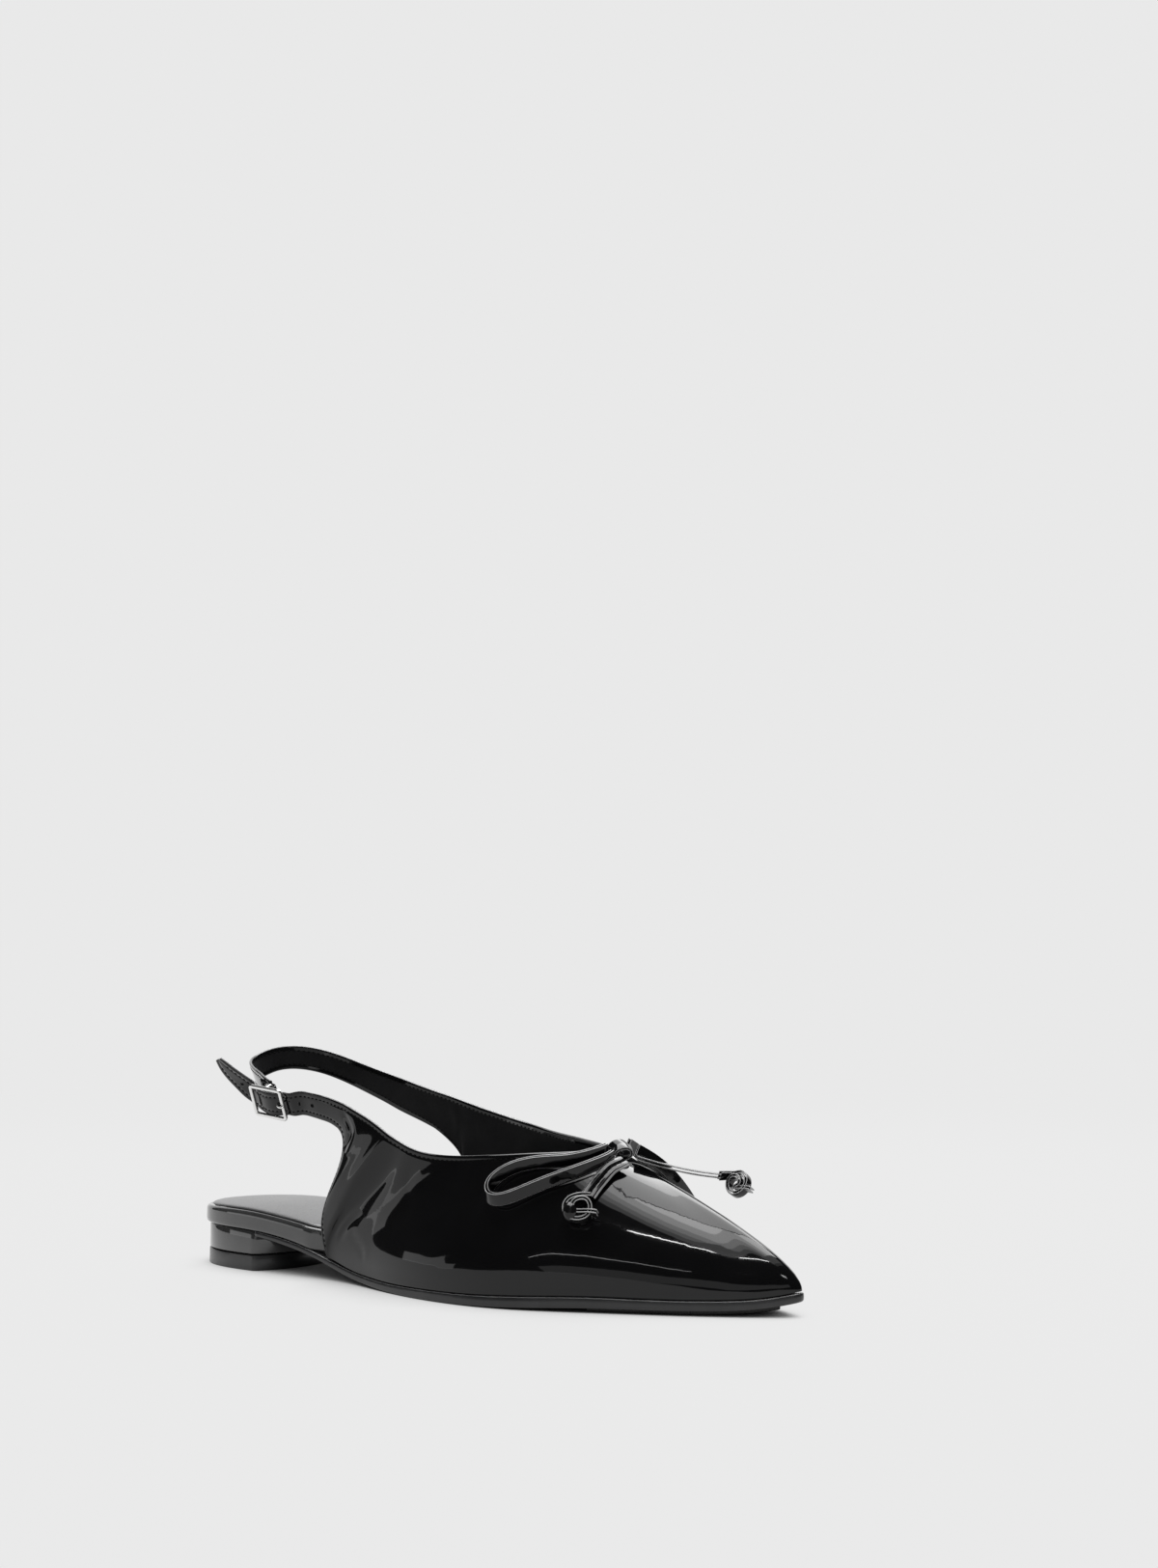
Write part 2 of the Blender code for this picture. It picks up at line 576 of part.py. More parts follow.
def lateral_strap_path(count):
    """Middle line of the lateral strap from the quarter through the buckle to
    the end of its free tail, with its outward and across directions."""
    at, f, u, o = buckle_axes()
    run = np.array(STRAP_RUN)
    root = np.array(STRAP_ROOT)
    pts = np.vstack((root, in_buckle(run[:, :3])))
    low, top = np.array(LATERAL_EDGE[0][:3]), np.array(LATERAL_EDGE[0][3:6])
    turn = np.linspace(0, 1, len(root) + 1)[:-1, None]
    first = unit(unit(top - low) * (1 - turn) + u * turn)
    rest = run[:, 3:4] * f + run[:, 4:5] * o + run[:, 5:6] * u
    d = chord(pts)
    s = np.linspace(0, d[-1], count)
    p = spline(d, pts, s)
    c = spline(d, np.vstack((first, unit(rest))), s)
    along = unit(np.gradient(p, axis=0))
    out = unit(np.cross(along, c))
    out = out * np.sign((out[0] @ np.array([0, -1.0, 0])))
    c = unit(c - along * (c * along).sum(1, keepdims=True))
    return p, out, c


def strip(points, across, count):
    """Middle line of a strip of the bow and its normal and across directions."""
    p = np.array(points)
    d = chord(p)
    p = spline(d, p, np.linspace(0, d[-1], count))
    along = unit(np.gradient(p, axis=0))
    c = np.array(across, float) * np.ones((count, 1))
    c = unit(c - along * (c * along).sum(1, keepdims=True))
    return p, unit(np.cross(along, c)), c


# ---------------------------------------------------------------------- build
def build():
    clear_scene()
    shoe = bpy.data.objects.new("shoe", None)
    bpy.context.scene.collection.objects.link(shoe)

    patent = material("patent", (0.008, 0.008, 0.009), 0.08)
    lining = material("sock_lining", (0.05, 0.05, 0.052), 0.45)
    wrap = material("patent_wrap", (0.01, 0.01, 0.011), 0.12)
    soleing = material("sole_rubber", (0.015, 0.015, 0.016), 0.4)
    steel = material("silver_metal", (0.8, 0.8, 0.8), 0.15, 1.0)

    # --- top lift and heel block: the seat's own outline, cut off by the breast
    def heel_loop(extra, corner):
        side = LAT_CURVE[LAT_CURVE[:, 0] < 60]
        n = unit(np.gradient(side, axis=0))
        side = side + np.stack((-n[:, 1], n[:, 0]), 1) * (HEEL_INSET + extra)
        arc = breast_arc(9, -extra)
        side = side[side[:, 0] < arc[0, 0] - corner]
        edge = np.array([arc[0, 0], side[-1, 1]])
        turn = []
        a, b = side[-1], arc[0] * 0.35 + arc[1] * 0.65
        for t in np.linspace(0.12, 0.88, 5):
            turn.append((1 - t) ** 2 * a + 2 * t * (1 - t) * edge + t * t * b)
        half = np.vstack((spread(side, 22), turn, arc[1:] if corner < 1 else arc[2:]))
        half[0, 1] = half[-1, 1] = 0.0
        mirror = half[-2:0:-1] * np.array([1.0, -1.0])
        return np.vstack((half, mirror))

    def flat(z):
        return lambda x, y: np.full(len(x), float(z))

    def solid_block(name, loop, low, high, mat, edge=0.35):
        steps = [(edge + 0.01, 0.3, low), (edge + 0.01, 1.0, low),
                 (0.0, 1.0, lambda x, y: low(x, y) + edge),
                 (0.0, 1.0, lambda x, y: high(x, y) - edge),
                 (edge, 1.0, high), (edge, 0.3, high)]
        v, f = plate(loop, steps)
        return make(name, v, f, mat, shoe)

    solid_block("top_lift", heel_loop(0.0, 0.8), flat(0.0), flat(LIFT_TOP), soleing)
    solid_block("heel_block", heel_loop(0.0, BREAST_CORNER), flat(BLOCK_FOOT),
                lambda x, y: seam(x) - GAP, wrap)

    # --- outsole: from the breast to the toe, thin at the waist
    def outsole_half(curve, sign):
        arc = breast_arc(9, GAP)[::-1]
        arc = arc * np.array([1.0, 1.0 if sign < 0 else -1.0])
        first = arc[-1, 0] + 1.2
        side = curve[curve[:, 0] > first]
        return np.vstack((arc, spread(side, 46)))

    lat = outsole_half(LAT_CURVE, -1)
    med = outsole_half(MED_CURVE, 1)
    loop = np.vstack((lat, med[-2:0:-1]))
    def dip(x, y):
        return under(x)

    v, f = plate(loop, [
        (1.3, 0.3, dip), (1.0, 1.0, dip),
        (0.1, 1.0, lambda x, y: under(x) + 0.6),
        (0.1, 1.0, lambda x, y: seam(x) - 0.4),
        (0.5, 1.0, lambda x, y: seam(x)), (3.0, 0.3, lambda x, y: seam(x))])
    make("outsole", v, f, soleing, shoe)

    # --- tread patch under the forefoot, flat where it stands on the floor
    x0, x1 = TREAD_X
    th = np.linspace(0, math.pi / 2, 26)
    tx = x0 + (x1 - x0) * np.sin(th)
    pinch = np.clip(1 - ((tx - x0) / (x1 - x0)) ** 8, 0, 1) ** 0.5
    sides = []
    for c, sign in ((LAT_CURVE, -1), (MED_CURVE, 1)):
        y = np.interp(tx, c[:, 0], c[:, 1]) - sign * TREAD_INSET
        y = TIP_Y + (y - TIP_Y) * pinch
        rear = np.column_stack((np.full(5, x0), np.linspace(TIP_Y, y[0], 6)[:5]))
        sides.append(np.vstack((rear, np.column_stack((tx, y)))))
    loop = np.vstack((sides[0], sides[1][-2:0:-1]))

    def tread_low(x, y):
        z = np.maximum(under(x) - TREAD_DROP, 0.0)
        return np.where(x < TREAD_FLAT[1], 0.0, z)

    def tread_high(x, y):
        return under(x) - 0.05

    v, f = plate(loop, [
        (0, 0.25, tread_low), (0, 0.6, tread_low), (0, 0.97, tread_low),
        (0, 1.0, lambda x, y: tread_low(x, y) + 0.3),
        (0, 1.0, tread_high), (0, 0.6, tread_high), (0, 0.25, tread_high)])
    make("forefoot_tread", v, f, soleing, shoe)

    # --- insole board, wrapped at the open heel, inside the upper in front
    loop = closed_plan(52)
    inside = np.where(np.arange(len(loop)) <= 52,
                      smooth_step(loop[:, 0], 70.0, 77.5),
                      smooth_step(loop[:, 0], 89.0, 97.5)) * BOARD_INSET
    v, f = plate(loop, [
        (inside + 1.5, 0.3, lambda x, y: seam(x) + GAP),
        (inside + 0.7, 1.0, lambda x, y: seam(x) + GAP),
        (inside, 1.0, lambda x, y: seam(x) + GAP + 0.7),
        (inside, 1.0, lambda x, y: foot(x) - 0.8),
        (inside + 0.8, 1.0, lambda x, y: foot(x)),
        (inside + 3.0, 1.0, lambda x, y: foot(x) - 0.25),
        (inside + 3.0, 0.3, lambda x, y: foot(x) - 0.25)])
    make("insole_board", v, f, wrap, shoe)

    # --- sock on the board
    base = lambda x, y: foot(x) - 0.25 + GAP
    v, f = plate(loop, [
        (inside + 3.3, 0.3, base), (inside + 3.1, 1.0, base),
        (inside + 2.9, 1.0, lambda x, y: base(x, y) + SOCK_T * 0.5),
        (inside + 3.2, 1.0, lambda x, y: base(x, y) + SOCK_T),
        (inside + 3.4, 0.3, lambda x, y: base(x, y) + SOCK_T)])
    make("insole_sock", v, f, lining, shoe)

    # --- upper
    v, f = shell(upper_surface(92, 10), WALL)
    make("upper", v, f, patent, shoe)

    # --- heel strap
    grid, _ = heel_strap_surface(40, 3)
    v, f = shell(grid, STRAP_T)
    make("heel_strap", v, f, patent, shoe)

    # --- lateral strap through the buckle
    p, o, c = lateral_strap_path(40)
    v, f = band(p, o, c, STRAP_W - 5.6 * np.linspace(0, 1, 40) ** 12, STRAP_T)
    make("buckle_strap", v, f, patent, shoe)

    # --- buckle frame with its set-back centre bar, and the prong
    at, fr, up, out = buckle_axes()
    L, H, W = FRAME_L / 2, FRAME_H / 2, FRAME_W
    ring = []
    for l, h, w in ((L, H, -W / 2), (L, H, W / 2), (L - W, H - W, W / 2), (L - W, H - W, -W / 2)):
        pts = []
        for sx, sz in ((1, -1), (1, 1), (-1, 1), (-1, -1)):
            r = 1.4 if l == L else 0.5
            cx, cz = sx * (l - r), sz * (h - r)
            a0 = {(1, -1): -90, (1, 1): 0, (-1, 1): 90, (-1, -1): 180}[(sx, sz)]
            for a in (0, 45, 90):
                t = math.radians(a0 + a)
                pts.append((cx + r * math.cos(t), w, cz + r * math.sin(t)))
        ring.append(in_buckle(pts))
    n = len(ring[0])
    verts = np.vstack(ring)
    faces = [(k * n + i, k * n + (i + 1) % n, ((k + 1) % 4) * n + (i + 1) % n, ((k + 1) % 4) * n + i)
             for k in range(4) for i in range(n)]
    frame = make("buckle_frame", verts, faces, steel, shoe)
    # centre bar: a flat staple let into the two rails, behind the strap
    prof = [(-H + 0.2, -0.3), (-H + 0.2, -3.7), (H - 0.2, -3.7), (H - 0.2, -0.3),
            (H - 1.1, -0.3), (H - 1.1, -2.7), (-H + 1.1, -2.7), (-H + 1.1, -0.3)]
    side_a = in_buckle([(-0.7, o_, h_) for h_, o_ in prof])
    side_b = in_buckle([(0.7, o_, h_) for h_, o_ in prof])
    k = len(prof)
    faces = [(i, (i + 1) % k, k + (i + 1) % k, k + i) for i in range(k)]
    for a, b, c_, d in ((0, 1, 6, 7), (1, 2, 5, 6), (2, 3, 4, 5)):
        faces.append((a, b, c_, d))
        faces.append((k + d, k + c_, k + b, k + a))
    bar = make("bar_tool", np.vstack((side_a, side_b)), faces, steel, shoe)
    bar.hide_render = True
    bar.display_type = "WIRE"
    mod = frame.modifiers.new("bar", "BOOLEAN")
    mod.operation = "UNION"
    mod.object = bar

    run = [(0.6, 0.75, 0.0), (3.0, 1.0, 0.0), (6.0, 1.55, 0.0), (8.6, 1.7, 0.0), (9.6, 1.45, 0.0)]
    mid = spread(in_buckle(run), 9)
    along = unit(np.gradient(mid, axis=0))
    rings = []
    for i, p_ in enumerate(mid):
        r = 0.62 if i < 7 else 0.5
        o_ = unit(out - along[i] * (out @ along[i]))
        rings.append([p_ + r * (math.cos(a) * up + math.sin(a) * o_)
                      for a in np.linspace(0, 2 * math.pi, 9)[:-1]])
    n = 8
    verts = np.vstack(rings)
    faces = [(k * n + i, k * n + (i + 1) % n, (k + 1) * n + (i + 1) % n, (k + 1) * n + i)
             for k in range(len(rings) - 1) for i in range(n)]
    faces += [tuple(range(n))[::-1], tuple(range((len(rings) - 1) * n, len(rings) * n))]
    make("buckle_prong", verts, faces, steel, shoe)

    # --- bow: two loops, two tails, a knot and the knots that end the tails
    for name, pts, across, count in (
            ("bow_loop_lateral", LOOP_LATERAL, LOOP_ACROSS_L, 44),
            ("bow_loop_medial", LOOP_MEDIAL, LOOP_ACROSS_M, 36),
            ("bow_tail_lateral", TAIL_LATERAL, TAIL_ACROSS_L, 12),
            ("bow_tail_medial", TAIL_MEDIAL, TAIL_ACROSS_M, 12)):
        p, n_, c = strip(pts, across, count)
        v, f = band(p, n_, c, BOW_W, BOW_T)
        make(name, v, f, patent, shoe)
    for name, x, y, z, a, b, c, *face in KNOTS:
        v, f = pebble((x, y, z), (a, b, c), face, 14, 8)
        make(name, v, f, patent, shoe, sharp=80.0)
    return shoe


build()
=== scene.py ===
# Looks of the pointed slingback flat: patent leather, linings, stitching, bow,
# buckle and sole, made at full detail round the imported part.
#
# Lengths in the tables are millimetres in the last's own coordinates: x from the
# back of the heel seat to the toe, y to the medial side, z up from the floor.

import math

import bpy
import numpy as np
from mathutils import Matrix, Vector


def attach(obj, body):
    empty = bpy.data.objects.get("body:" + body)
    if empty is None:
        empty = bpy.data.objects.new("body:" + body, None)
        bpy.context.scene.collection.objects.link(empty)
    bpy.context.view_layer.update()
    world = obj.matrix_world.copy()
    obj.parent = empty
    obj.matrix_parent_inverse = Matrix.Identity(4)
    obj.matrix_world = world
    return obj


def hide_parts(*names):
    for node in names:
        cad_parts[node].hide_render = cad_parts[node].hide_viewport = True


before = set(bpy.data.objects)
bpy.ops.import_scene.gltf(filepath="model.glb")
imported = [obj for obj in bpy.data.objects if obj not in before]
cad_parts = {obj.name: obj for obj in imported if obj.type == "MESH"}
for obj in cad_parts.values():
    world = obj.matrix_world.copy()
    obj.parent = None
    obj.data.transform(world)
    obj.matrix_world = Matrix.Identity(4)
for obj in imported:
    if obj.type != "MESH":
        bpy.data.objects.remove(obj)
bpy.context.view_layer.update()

MM = 0.001
HEEL_CENTRE = 22.0
LENGTH = 265.2
LIFT_TOP, BLOCK_FOOT = 5.9, 6.2
HEEL_INSET, BREAST_X, BREAST_BULGE, BREAST_CORNER = 1.5, 41.6, 8.8, 1.8
WALL, STRAP_T, GAP = 1.6, 1.2, 0.3
FEATHER_INSET, BOARD_INSET = 0.5, 3.0
TREAD_DROP, TREAD_INSET = 1.35, 3.2
TREAD_FLAT, TREAD_X, TIP_Y = (206.0, 237.0), (199.0, 256.5), 2.6
FRAME_L, FRAME_H, FRAME_W = 17.7, 13.6, 1.5
STRAP_W, BOW_W = 9.8, 4.4

# --------------------------------------------------------------- short tables
LATERAL = [  # x, y
    (0.0, 0.0), (1.5, -7.0), (5.0, -13.5), (12.0, -19.5), (22.0, -23.5),
    (35.0, -25.5), (60.0, -26.0), (88.0, -27.2), (104.0, -31.3), (118.0, -35.8),
    (132.0, -39.3), (146.0, -41.3), (160.0, -41.6), (174.0, -39.6),
    (188.0, -35.2), (202.0, -29.8), (216.0, -24.1), (230.0, -18.0),
    (243.0, -11.6), (254.0, -5.6), (261.5, -1.4), (264.4, 0.4), (265.2, 2.6)]
MEDIAL = [  # x, y
    (0.0, 0.0), (1.5, 7.0), (5.0, 13.5), (12.0, 19.5), (22.0, 23.5),
    (35.0, 25.3), (60.0, 24.0), (88.0, 20.8), (104.0, 20.2), (118.0, 21.4),
    (134.0, 25.2), (150.0, 30.6), (165.0, 35.2), (179.0, 37.6), (192.0, 36.6),
    (206.0, 32.8), (220.0, 27.4), (233.0, 21.8), (245.0, 16.0), (254.5, 11.0),
    (261.5, 6.8), (264.4, 4.8), (265.2, 2.6)]
PROFILE = [  # x, under, seam, foot
    (-4.0, 13.9, 16.3, 22.4), (20.0, 13.8, 15.9, 23.0), (42.0, 13.5, 15.3, 22.6),
    (53.0, 12.0, 14.2, 21.5), (64.0, 9.9, 12.3, 20.0), (76.0, 6.8, 9.2, 17.8),
    (84.0, 4.4, 6.9, 15.9), (92.0, 2.4, 5.1, 13.9), (104.0, 0.8, 3.7, 11.3),
    (118.0, 0.1, 3.2, 9.2), (134.0, 0.0, 3.3, 7.6), (160.0, 0.1, 3.8, 6.9),
    (185.0, 0.9, 4.7, 7.6), (200.0, 1.35, 5.1, 8.0), (225.0, 1.45, 4.9, 7.9),
    (240.0, 1.7, 5.1, 8.1), (250.0, 2.3, 5.6, 8.5), (258.0, 3.5, 6.7, 9.6),
    (266.0, 5.4, 8.5, 11.4)]
LATERAL_EDGE = [  # low x, y, z, top x, y, z, belly
    (80.0, -26.6, 58.9, 80.8, -28.1, 68.1, 0.2),
    (84.5, -27.3, 57.2, 89.0, -29.1, 66.3, 0.4),
    (88.3, -28.0, 54.2, 94.0, -29.8, 64.8, 0.6),
    (89.5, -28.6, 49.0, 98.3, -30.3, 63.3, 0.9),
    (87.3, -28.9, 41.0, 102.8, -30.8, 61.6, 1.3),
    (82.6, -28.9, 31.5, 107.5, -31.2, 59.5, 1.9),
    (79.2, -28.4, 21.0, 111.4, -31.6, 57.5, 2.4),
    (79.3, -27.3, 13.4, 114.4, -31.8, 55.9, 2.9)]
SOLE_RIBS = [  # side, sole_x, top_x, top_y, top_z, rise, flare, reach, drop
    (-1, 80.5, 117.0, -31.9, 54.6, 14.0, 3.0, 3.0, 15.0),
    (-1, 91.0, 123.0, -32.1, 52.2, 15.0, 3.4, 3.0, 15.0),
    (-1, 104.0, 130.0, -32.0, 50.4, 15.0, 3.4, 3.0, 15.0),
    (-1, 118.0, 138.0, -31.7, 49.7, 15.0, 3.2, 3.0, 15.0),
    (-1, 134.0, 147.0, -31.1, 49.8, 15.0, 3.0, 3.0, 15.0),
    (-1, 150.0, 157.0, -30.2, 50.5, 15.0, 3.0, 3.5, 15.0),
    (-1, 166.0, 166.5, -28.5, 51.2, 15.0, 3.0, 4.5, 14.5),
    (-1, 181.0, 174.5, -25.3, 51.8, 15.0, 3.2, 6.0, 14.0),
    (-1, 195.0, 181.0, -20.8, 52.1, 14.5, 3.2, 8.5, 13.5),
    (-1, 208.0, 185.0, -16.4, 52.3, 14.0, 3.2, 12.0, 13.0),
    (-1, 220.0, 188.0, -12.2, 52.2, 13.5, 3.0, 16.0, 12.5),
    (-1, 231.0, 190.2, -8.5, 51.9, 13.0, 2.6, 20.0, 12.3),
    (-1, 241.0, 191.7, -5.4, 51.5, 12.3, 2.2, 23.5, 12.3),
    (-1, 250.0, 192.6, -2.7, 51.2, 11.5, 1.8, 26.5, 12.5),
    (-1, 258.0, 193.0, -0.7, 51.0, 10.8, 1.4, 29.5, 13.2),
    (1, 265.2, 193.0, 0.9, 50.9, 10.0, 1.0, 32.0, 14.0),
    (1, 258.0, 192.7, 2.5, 51.0, 10.8, 1.4, 29.5, 13.2),
    (1, 250.0, 191.9, 4.2, 51.2, 11.5, 1.8, 26.5, 12.5),
    (1, 241.0, 190.2, 6.1, 51.5, 12.3, 2.2, 23.5, 12.3),
    (1, 231.0, 187.4, 8.1, 51.9, 13.0, 2.6, 20.0, 12.3),
    (1, 220.0, 183.6, 10.0, 52.4, 13.5, 3.0, 16.5, 12.5),
    (1, 208.0, 179.5, 11.9, 52.9, 14.0, 3.2, 13.0, 13.0),
    (1, 195.0, 173.0, 14.3, 53.6, 14.5, 3.2, 10.0, 13.5),
    (1, 181.0, 165.5, 17.2, 54.3, 15.0, 3.2, 7.5, 14.0),
    (1, 166.0, 157.5, 20.3, 54.9, 15.5, 3.2, 5.5, 15.0),
    (1, 151.0, 149.0, 23.4, 55.7, 16.0, 3.4, 3.5, 16.0),
    (1, 136.0, 140.0, 26.1, 57.0, 17.0, 4.2, 2.0, 17.0),
    (1, 122.0, 131.0, 27.5, 58.6, 18.0, 5.2, 1.0, 18.0),
    (1, 110.0, 123.0, 28.0, 60.3, 18.5, 6.0, 0.5, 19.0),
    (1, 101.0, 116.0, 28.1, 61.9, 18.5, 6.4, 0.0, 19.0)]
MEDIAL_EDGE = [
    (100.6, 22.0, 9.8, 113.0, 28.1, 62.6, 2.2),
    (102.2, 23.6, 16.4, 110.0, 28.1, 63.4, 1.7),
    (105.6, 26.0, 26.0, 104.6, 28.0, 64.8, 1.0),
    (106.6, 27.7, 35.5, 99.5, 27.9, 66.2, 0.7),
    (102.6, 28.3, 43.6, 94.5, 27.8, 67.4, 0.5),
    (96.6, 28.2, 49.0, 89.6, 27.6, 68.6, 0.4),
    (90.0, 27.9, 53.2, 84.6, 27.4, 69.9, 0.3),
    (83.0, 27.4, 56.6, 79.5, 27.2, 71.2, 0.3)]
HEEL_STRAP = [  # x, y, z, width, lean
    (78.2, 27.1, 71.6, 13.6, 0.1), (70.0, 26.9, 73.7, 12.0, 0.0),
    (60.0, 26.0, 76.5, 10.8, 0.0), (51.0, 24.7, 79.3, 10.0, 0.0),
    (42.0, 21.8, 82.4, 9.6, 0.0), (33.5, 17.6, 84.7, 9.5, -0.2),
    (26.0, 12.4, 85.5, 9.5, -0.6), (21.0, 5.8, 84.6, 9.5, -1.2),
    (19.7, -1.4, 82.6, 9.5, -2.0), (22.6, -9.2, 80.6, 9.5, -2.8),
    (29.2, -15.9, 78.6, 9.5, -3.6), (36.8, -20.6, 76.8, 9.5, -4.0),
    (43.6, -23.6, 75.2, 9.5, -4.2), (50.2, -25.4, 73.8, 9.5, -4.2)]
BUCKLE_AT = (51.4, -28.4, 65.1)
BUCKLE_FRONT = (0.993, -0.049, -0.104)
BUCKLE_UP = (0.073, -0.429, 0.900)
STRAP_ROOT = [  # x, y, z
    (79.5, -26.8, 63.6), (76.1, -26.6, 64.2), (71.7, -26.2, 64.8), (65.8, -26.4, 65.2)]
STRAP_RUN = [  # s, out, up, across s, across out, across up
    (11.0, -1.9, -0.1, 0.0, 0.0, 1.0), (8.0, -1.95, -0.2, 0.0, 0.0, 1.0),
    (4.0, -1.0, -0.6, 0.0, 0.0, 1.0), (0.0, -0.5, -0.65, 0.0, 0.0, 1.0),
    (-4.0, -1.05, -0.55, 0.0, 0.0, 1.0), (-8.0, -2.1, 0.2, 0.02, 0.0, 1.0),
    (-10.6, -2.5, 1.5, 0.1, 0.0, 1.0), (-13.3, -2.0, 4.3, 0.7, -0.04, 0.68),
    (-15.3, -0.1, 8.6, 0.9, -0.02, 0.44), (-17.2, 1.8, 13.2, 0.92, 0.06, 0.39),
    (-19.0, 2.9, 17.6, 0.93, 0.11, 0.35)]
LOOP_LATERAL = [  # x, y, z
    (194.6, -8.6, 52.7), (193.8, -12.4, 51.9), (191.0, -18.3, 50.6),
    (187.1, -22.4, 49.7), (179.9, -27.3, 49.1), (172.0, -31.8, 47.3),
    (166.6, -34.9, 44.0), (164.4, -37.2, 39.9), (165.4, -38.3, 37.2),
    (168.4, -38.3, 36.5), (171.4, -37.4, 37.0), (176.9, -34.3, 39.3),
    (184.1, -29.3, 42.8), (190.6, -23.3, 45.8), (195.2, -16.7, 48.2),
    (197.0, -12.0, 49.6), (197.4, -8.9, 50.6)]
LOOP_MEDIAL = [  # x, y, z
    (200.4, 2.6, 51.8), (204.4, 9.0, 47.4), (208.0, 15.5, 41.0),
    (210.4, 22.0, 33.2), (210.2, 27.0, 26.2), (207.0, 29.2, 24.6),
    (203.0, 27.8, 29.2), (199.6, 22.6, 37.6), (197.2, 16.2, 45.1),
    (196.2, 9.4, 50.8), (196.4, 2.9, 53.6)]
TAIL_LATERAL = [  # x, y, z
    (201.5, -7.9, 48.9), (201.1, -10.0, 48.2), (199.9, -13.0, 47.1),
    (198.8, -17.4, 44.1), (197.5, -21.5, 40.3), (197.0, -23.8, 38.0)]
TAIL_MEDIAL = [  # x, y, z
    (202.4, -0.6, 49.6), (205.6, 2.0, 48.3), (209.6, 5.4, 46.8),
    (217.6, 11.8, 44.4), (225.2, 17.9, 43.0)]
LOOP_ACROSS_L = (0.10, -0.35, 0.93)
LOOP_ACROSS_M = (0.20, 0.55, 0.81)
TAIL_ACROSS_L = (0.80, 0.06, -0.46)
TAIL_ACROSS_M = (-0.55, 0.83, 0.0)

# Creases of the worn-in patent, each a soft trough with a ridge beside it:
# side, depth, width, then its line as x, z pairs.
CREASES = [
    (-1, 0.06, 2.0, (116.0, 15.5, 123.1, 17.2, 131.9, 20.7, 140.8, 24.7, 147.8, 29.4, 149.0, 34.3, 147.8, 38.5, 145.1, 42.9)),
    (-1, 0.13, 2.0, (155.4, 46.5, 157.9, 36.5, 157.5, 29.4)),
    (-1, 0.10, 1.8, (160.5, 46.0, 163.8, 36.8, 164.5, 29.8)),
    (-1, 0.10, 2.2, (127.2, 47.0, 124.4, 37.7, 127.8, 25.6)),
    (-1, 0.22, 1.3, (84.6, 16.8, 89.0, 22.9, 94.2, 27.6)),
    (-1, 0.26, 1.2, (87.3, 14.6, 93.8, 22.2, 101.3, 25.9)),
    (-1, 0.20, 1.2, (94.3, 20.6, 97.3, 17.2, 101.0, 14.1, 103.4, 9.5)),
    (-1, 0.08, 1.8, (98.2, 30.3, 106.9, 35.4, 113.0, 40.0)),
    (-1, 0.36, 1.6, (89.0, 64.0, 92.6, 60.0, 95.2, 55.6, 92.4, 50.5, 90.5, 47.0)),
    (-1, 0.10, 1.6, (141.0, 11.3, 150.0, 15.6, 163.9, 18.4, 178.0, 20.7, 186.0, 22.8)),
    (-1, 0.06, 2.0, (168.0, 27.0, 180.0, 29.5, 190.0, 31.5)),
    (1, 0.40, 3.0, (128.0, 17.0, 140.0, 24.0, 150.0, 31.0, 153.0, 40.0)),
    (1, 0.28, 2.6, (160.0, 47.0, 163.0, 38.0, 162.0, 30.0)),
    (1, 0.22, 1.6, (104.0, 17.0, 108.0, 23.0, 113.0, 28.0)),
    (1, 0.35, 1.9, (98.0, 63.0, 101.0, 57.0, 100.0, 50.0))]


# ------------------------------------------------------------------ small maths
def spline(knots, values, at):
    k = np.asarray(knots, float)
    v = np.asarray(values, float)
    flat = v.ndim == 1
    if flat:
        v = v[:, None]
    n = len(k)
    h = np.diff(k)
    a = np.zeros((n, n))
    r = np.zeros(v.shape)
    a[0, 0] = a[-1, -1] = 1.0
    for i in range(1, n - 1):
        a[i, i - 1], a[i, i], a[i, i + 1] = h[i - 1], 2 * (h[i - 1] + h[i]), h[i]
        r[i] = 6 * ((v[i + 1] - v[i]) / h[i] - (v[i] - v[i - 1]) / h[i - 1])
    m = np.linalg.solve(a, r)
    t = np.clip(np.atleast_1d(np.asarray(at, float)), k[0], k[-1])
    j = np.clip(np.searchsorted(k, t, side="right") - 1, 0, n - 2)
    hj = h[j][:, None]
    p = ((k[j + 1] - t) / h[j])[:, None]
    q = 1 - p
    out = (p * v[j] + q * v[j + 1]
           + ((p ** 3 - p) * m[j] + (q ** 3 - q) * m[j + 1]) * hj ** 2 / 6)
    return out[:, 0] if flat else out


def chord(points):
    p = np.asarray(points, float)
    return np.concatenate(([0.0], np.cumsum(np.sqrt((np.diff(p, axis=0) ** 2).sum(1)))))


def spread(points, count):
    p = np.asarray(points, float)
    d = chord(p)
    t = np.linspace(0, d[-1], count)
    return np.stack([np.interp(t, d, p[:, i]) for i in range(p.shape[1])], 1)


def smooth_path(points, count):
    p = np.asarray(points, float)
    d = chord(p)
    fine = spline(d, p, np.linspace(0, d[-1], count * 4))
    return spread(fine, count)


def unit(v):
    v = np.asarray(v, float)
    return v / (np.linalg.norm(v, axis=-1, keepdims=True) + 1e-12)


def smooth_step(x, lo, hi):
    t = np.clip((np.asarray(x, float) - lo) / (hi - lo), 0, 1)
    return t * t * (3 - 2 * t)


_P = np.array(PROFILE)


def under(x):
    return spline(_P[:, 0], _P[:, 1], x)


def seam(x):
    return spline(_P[:, 0], _P[:, 2], x)


def foot(x):
    return spline(_P[:, 0], _P[:, 3], x)


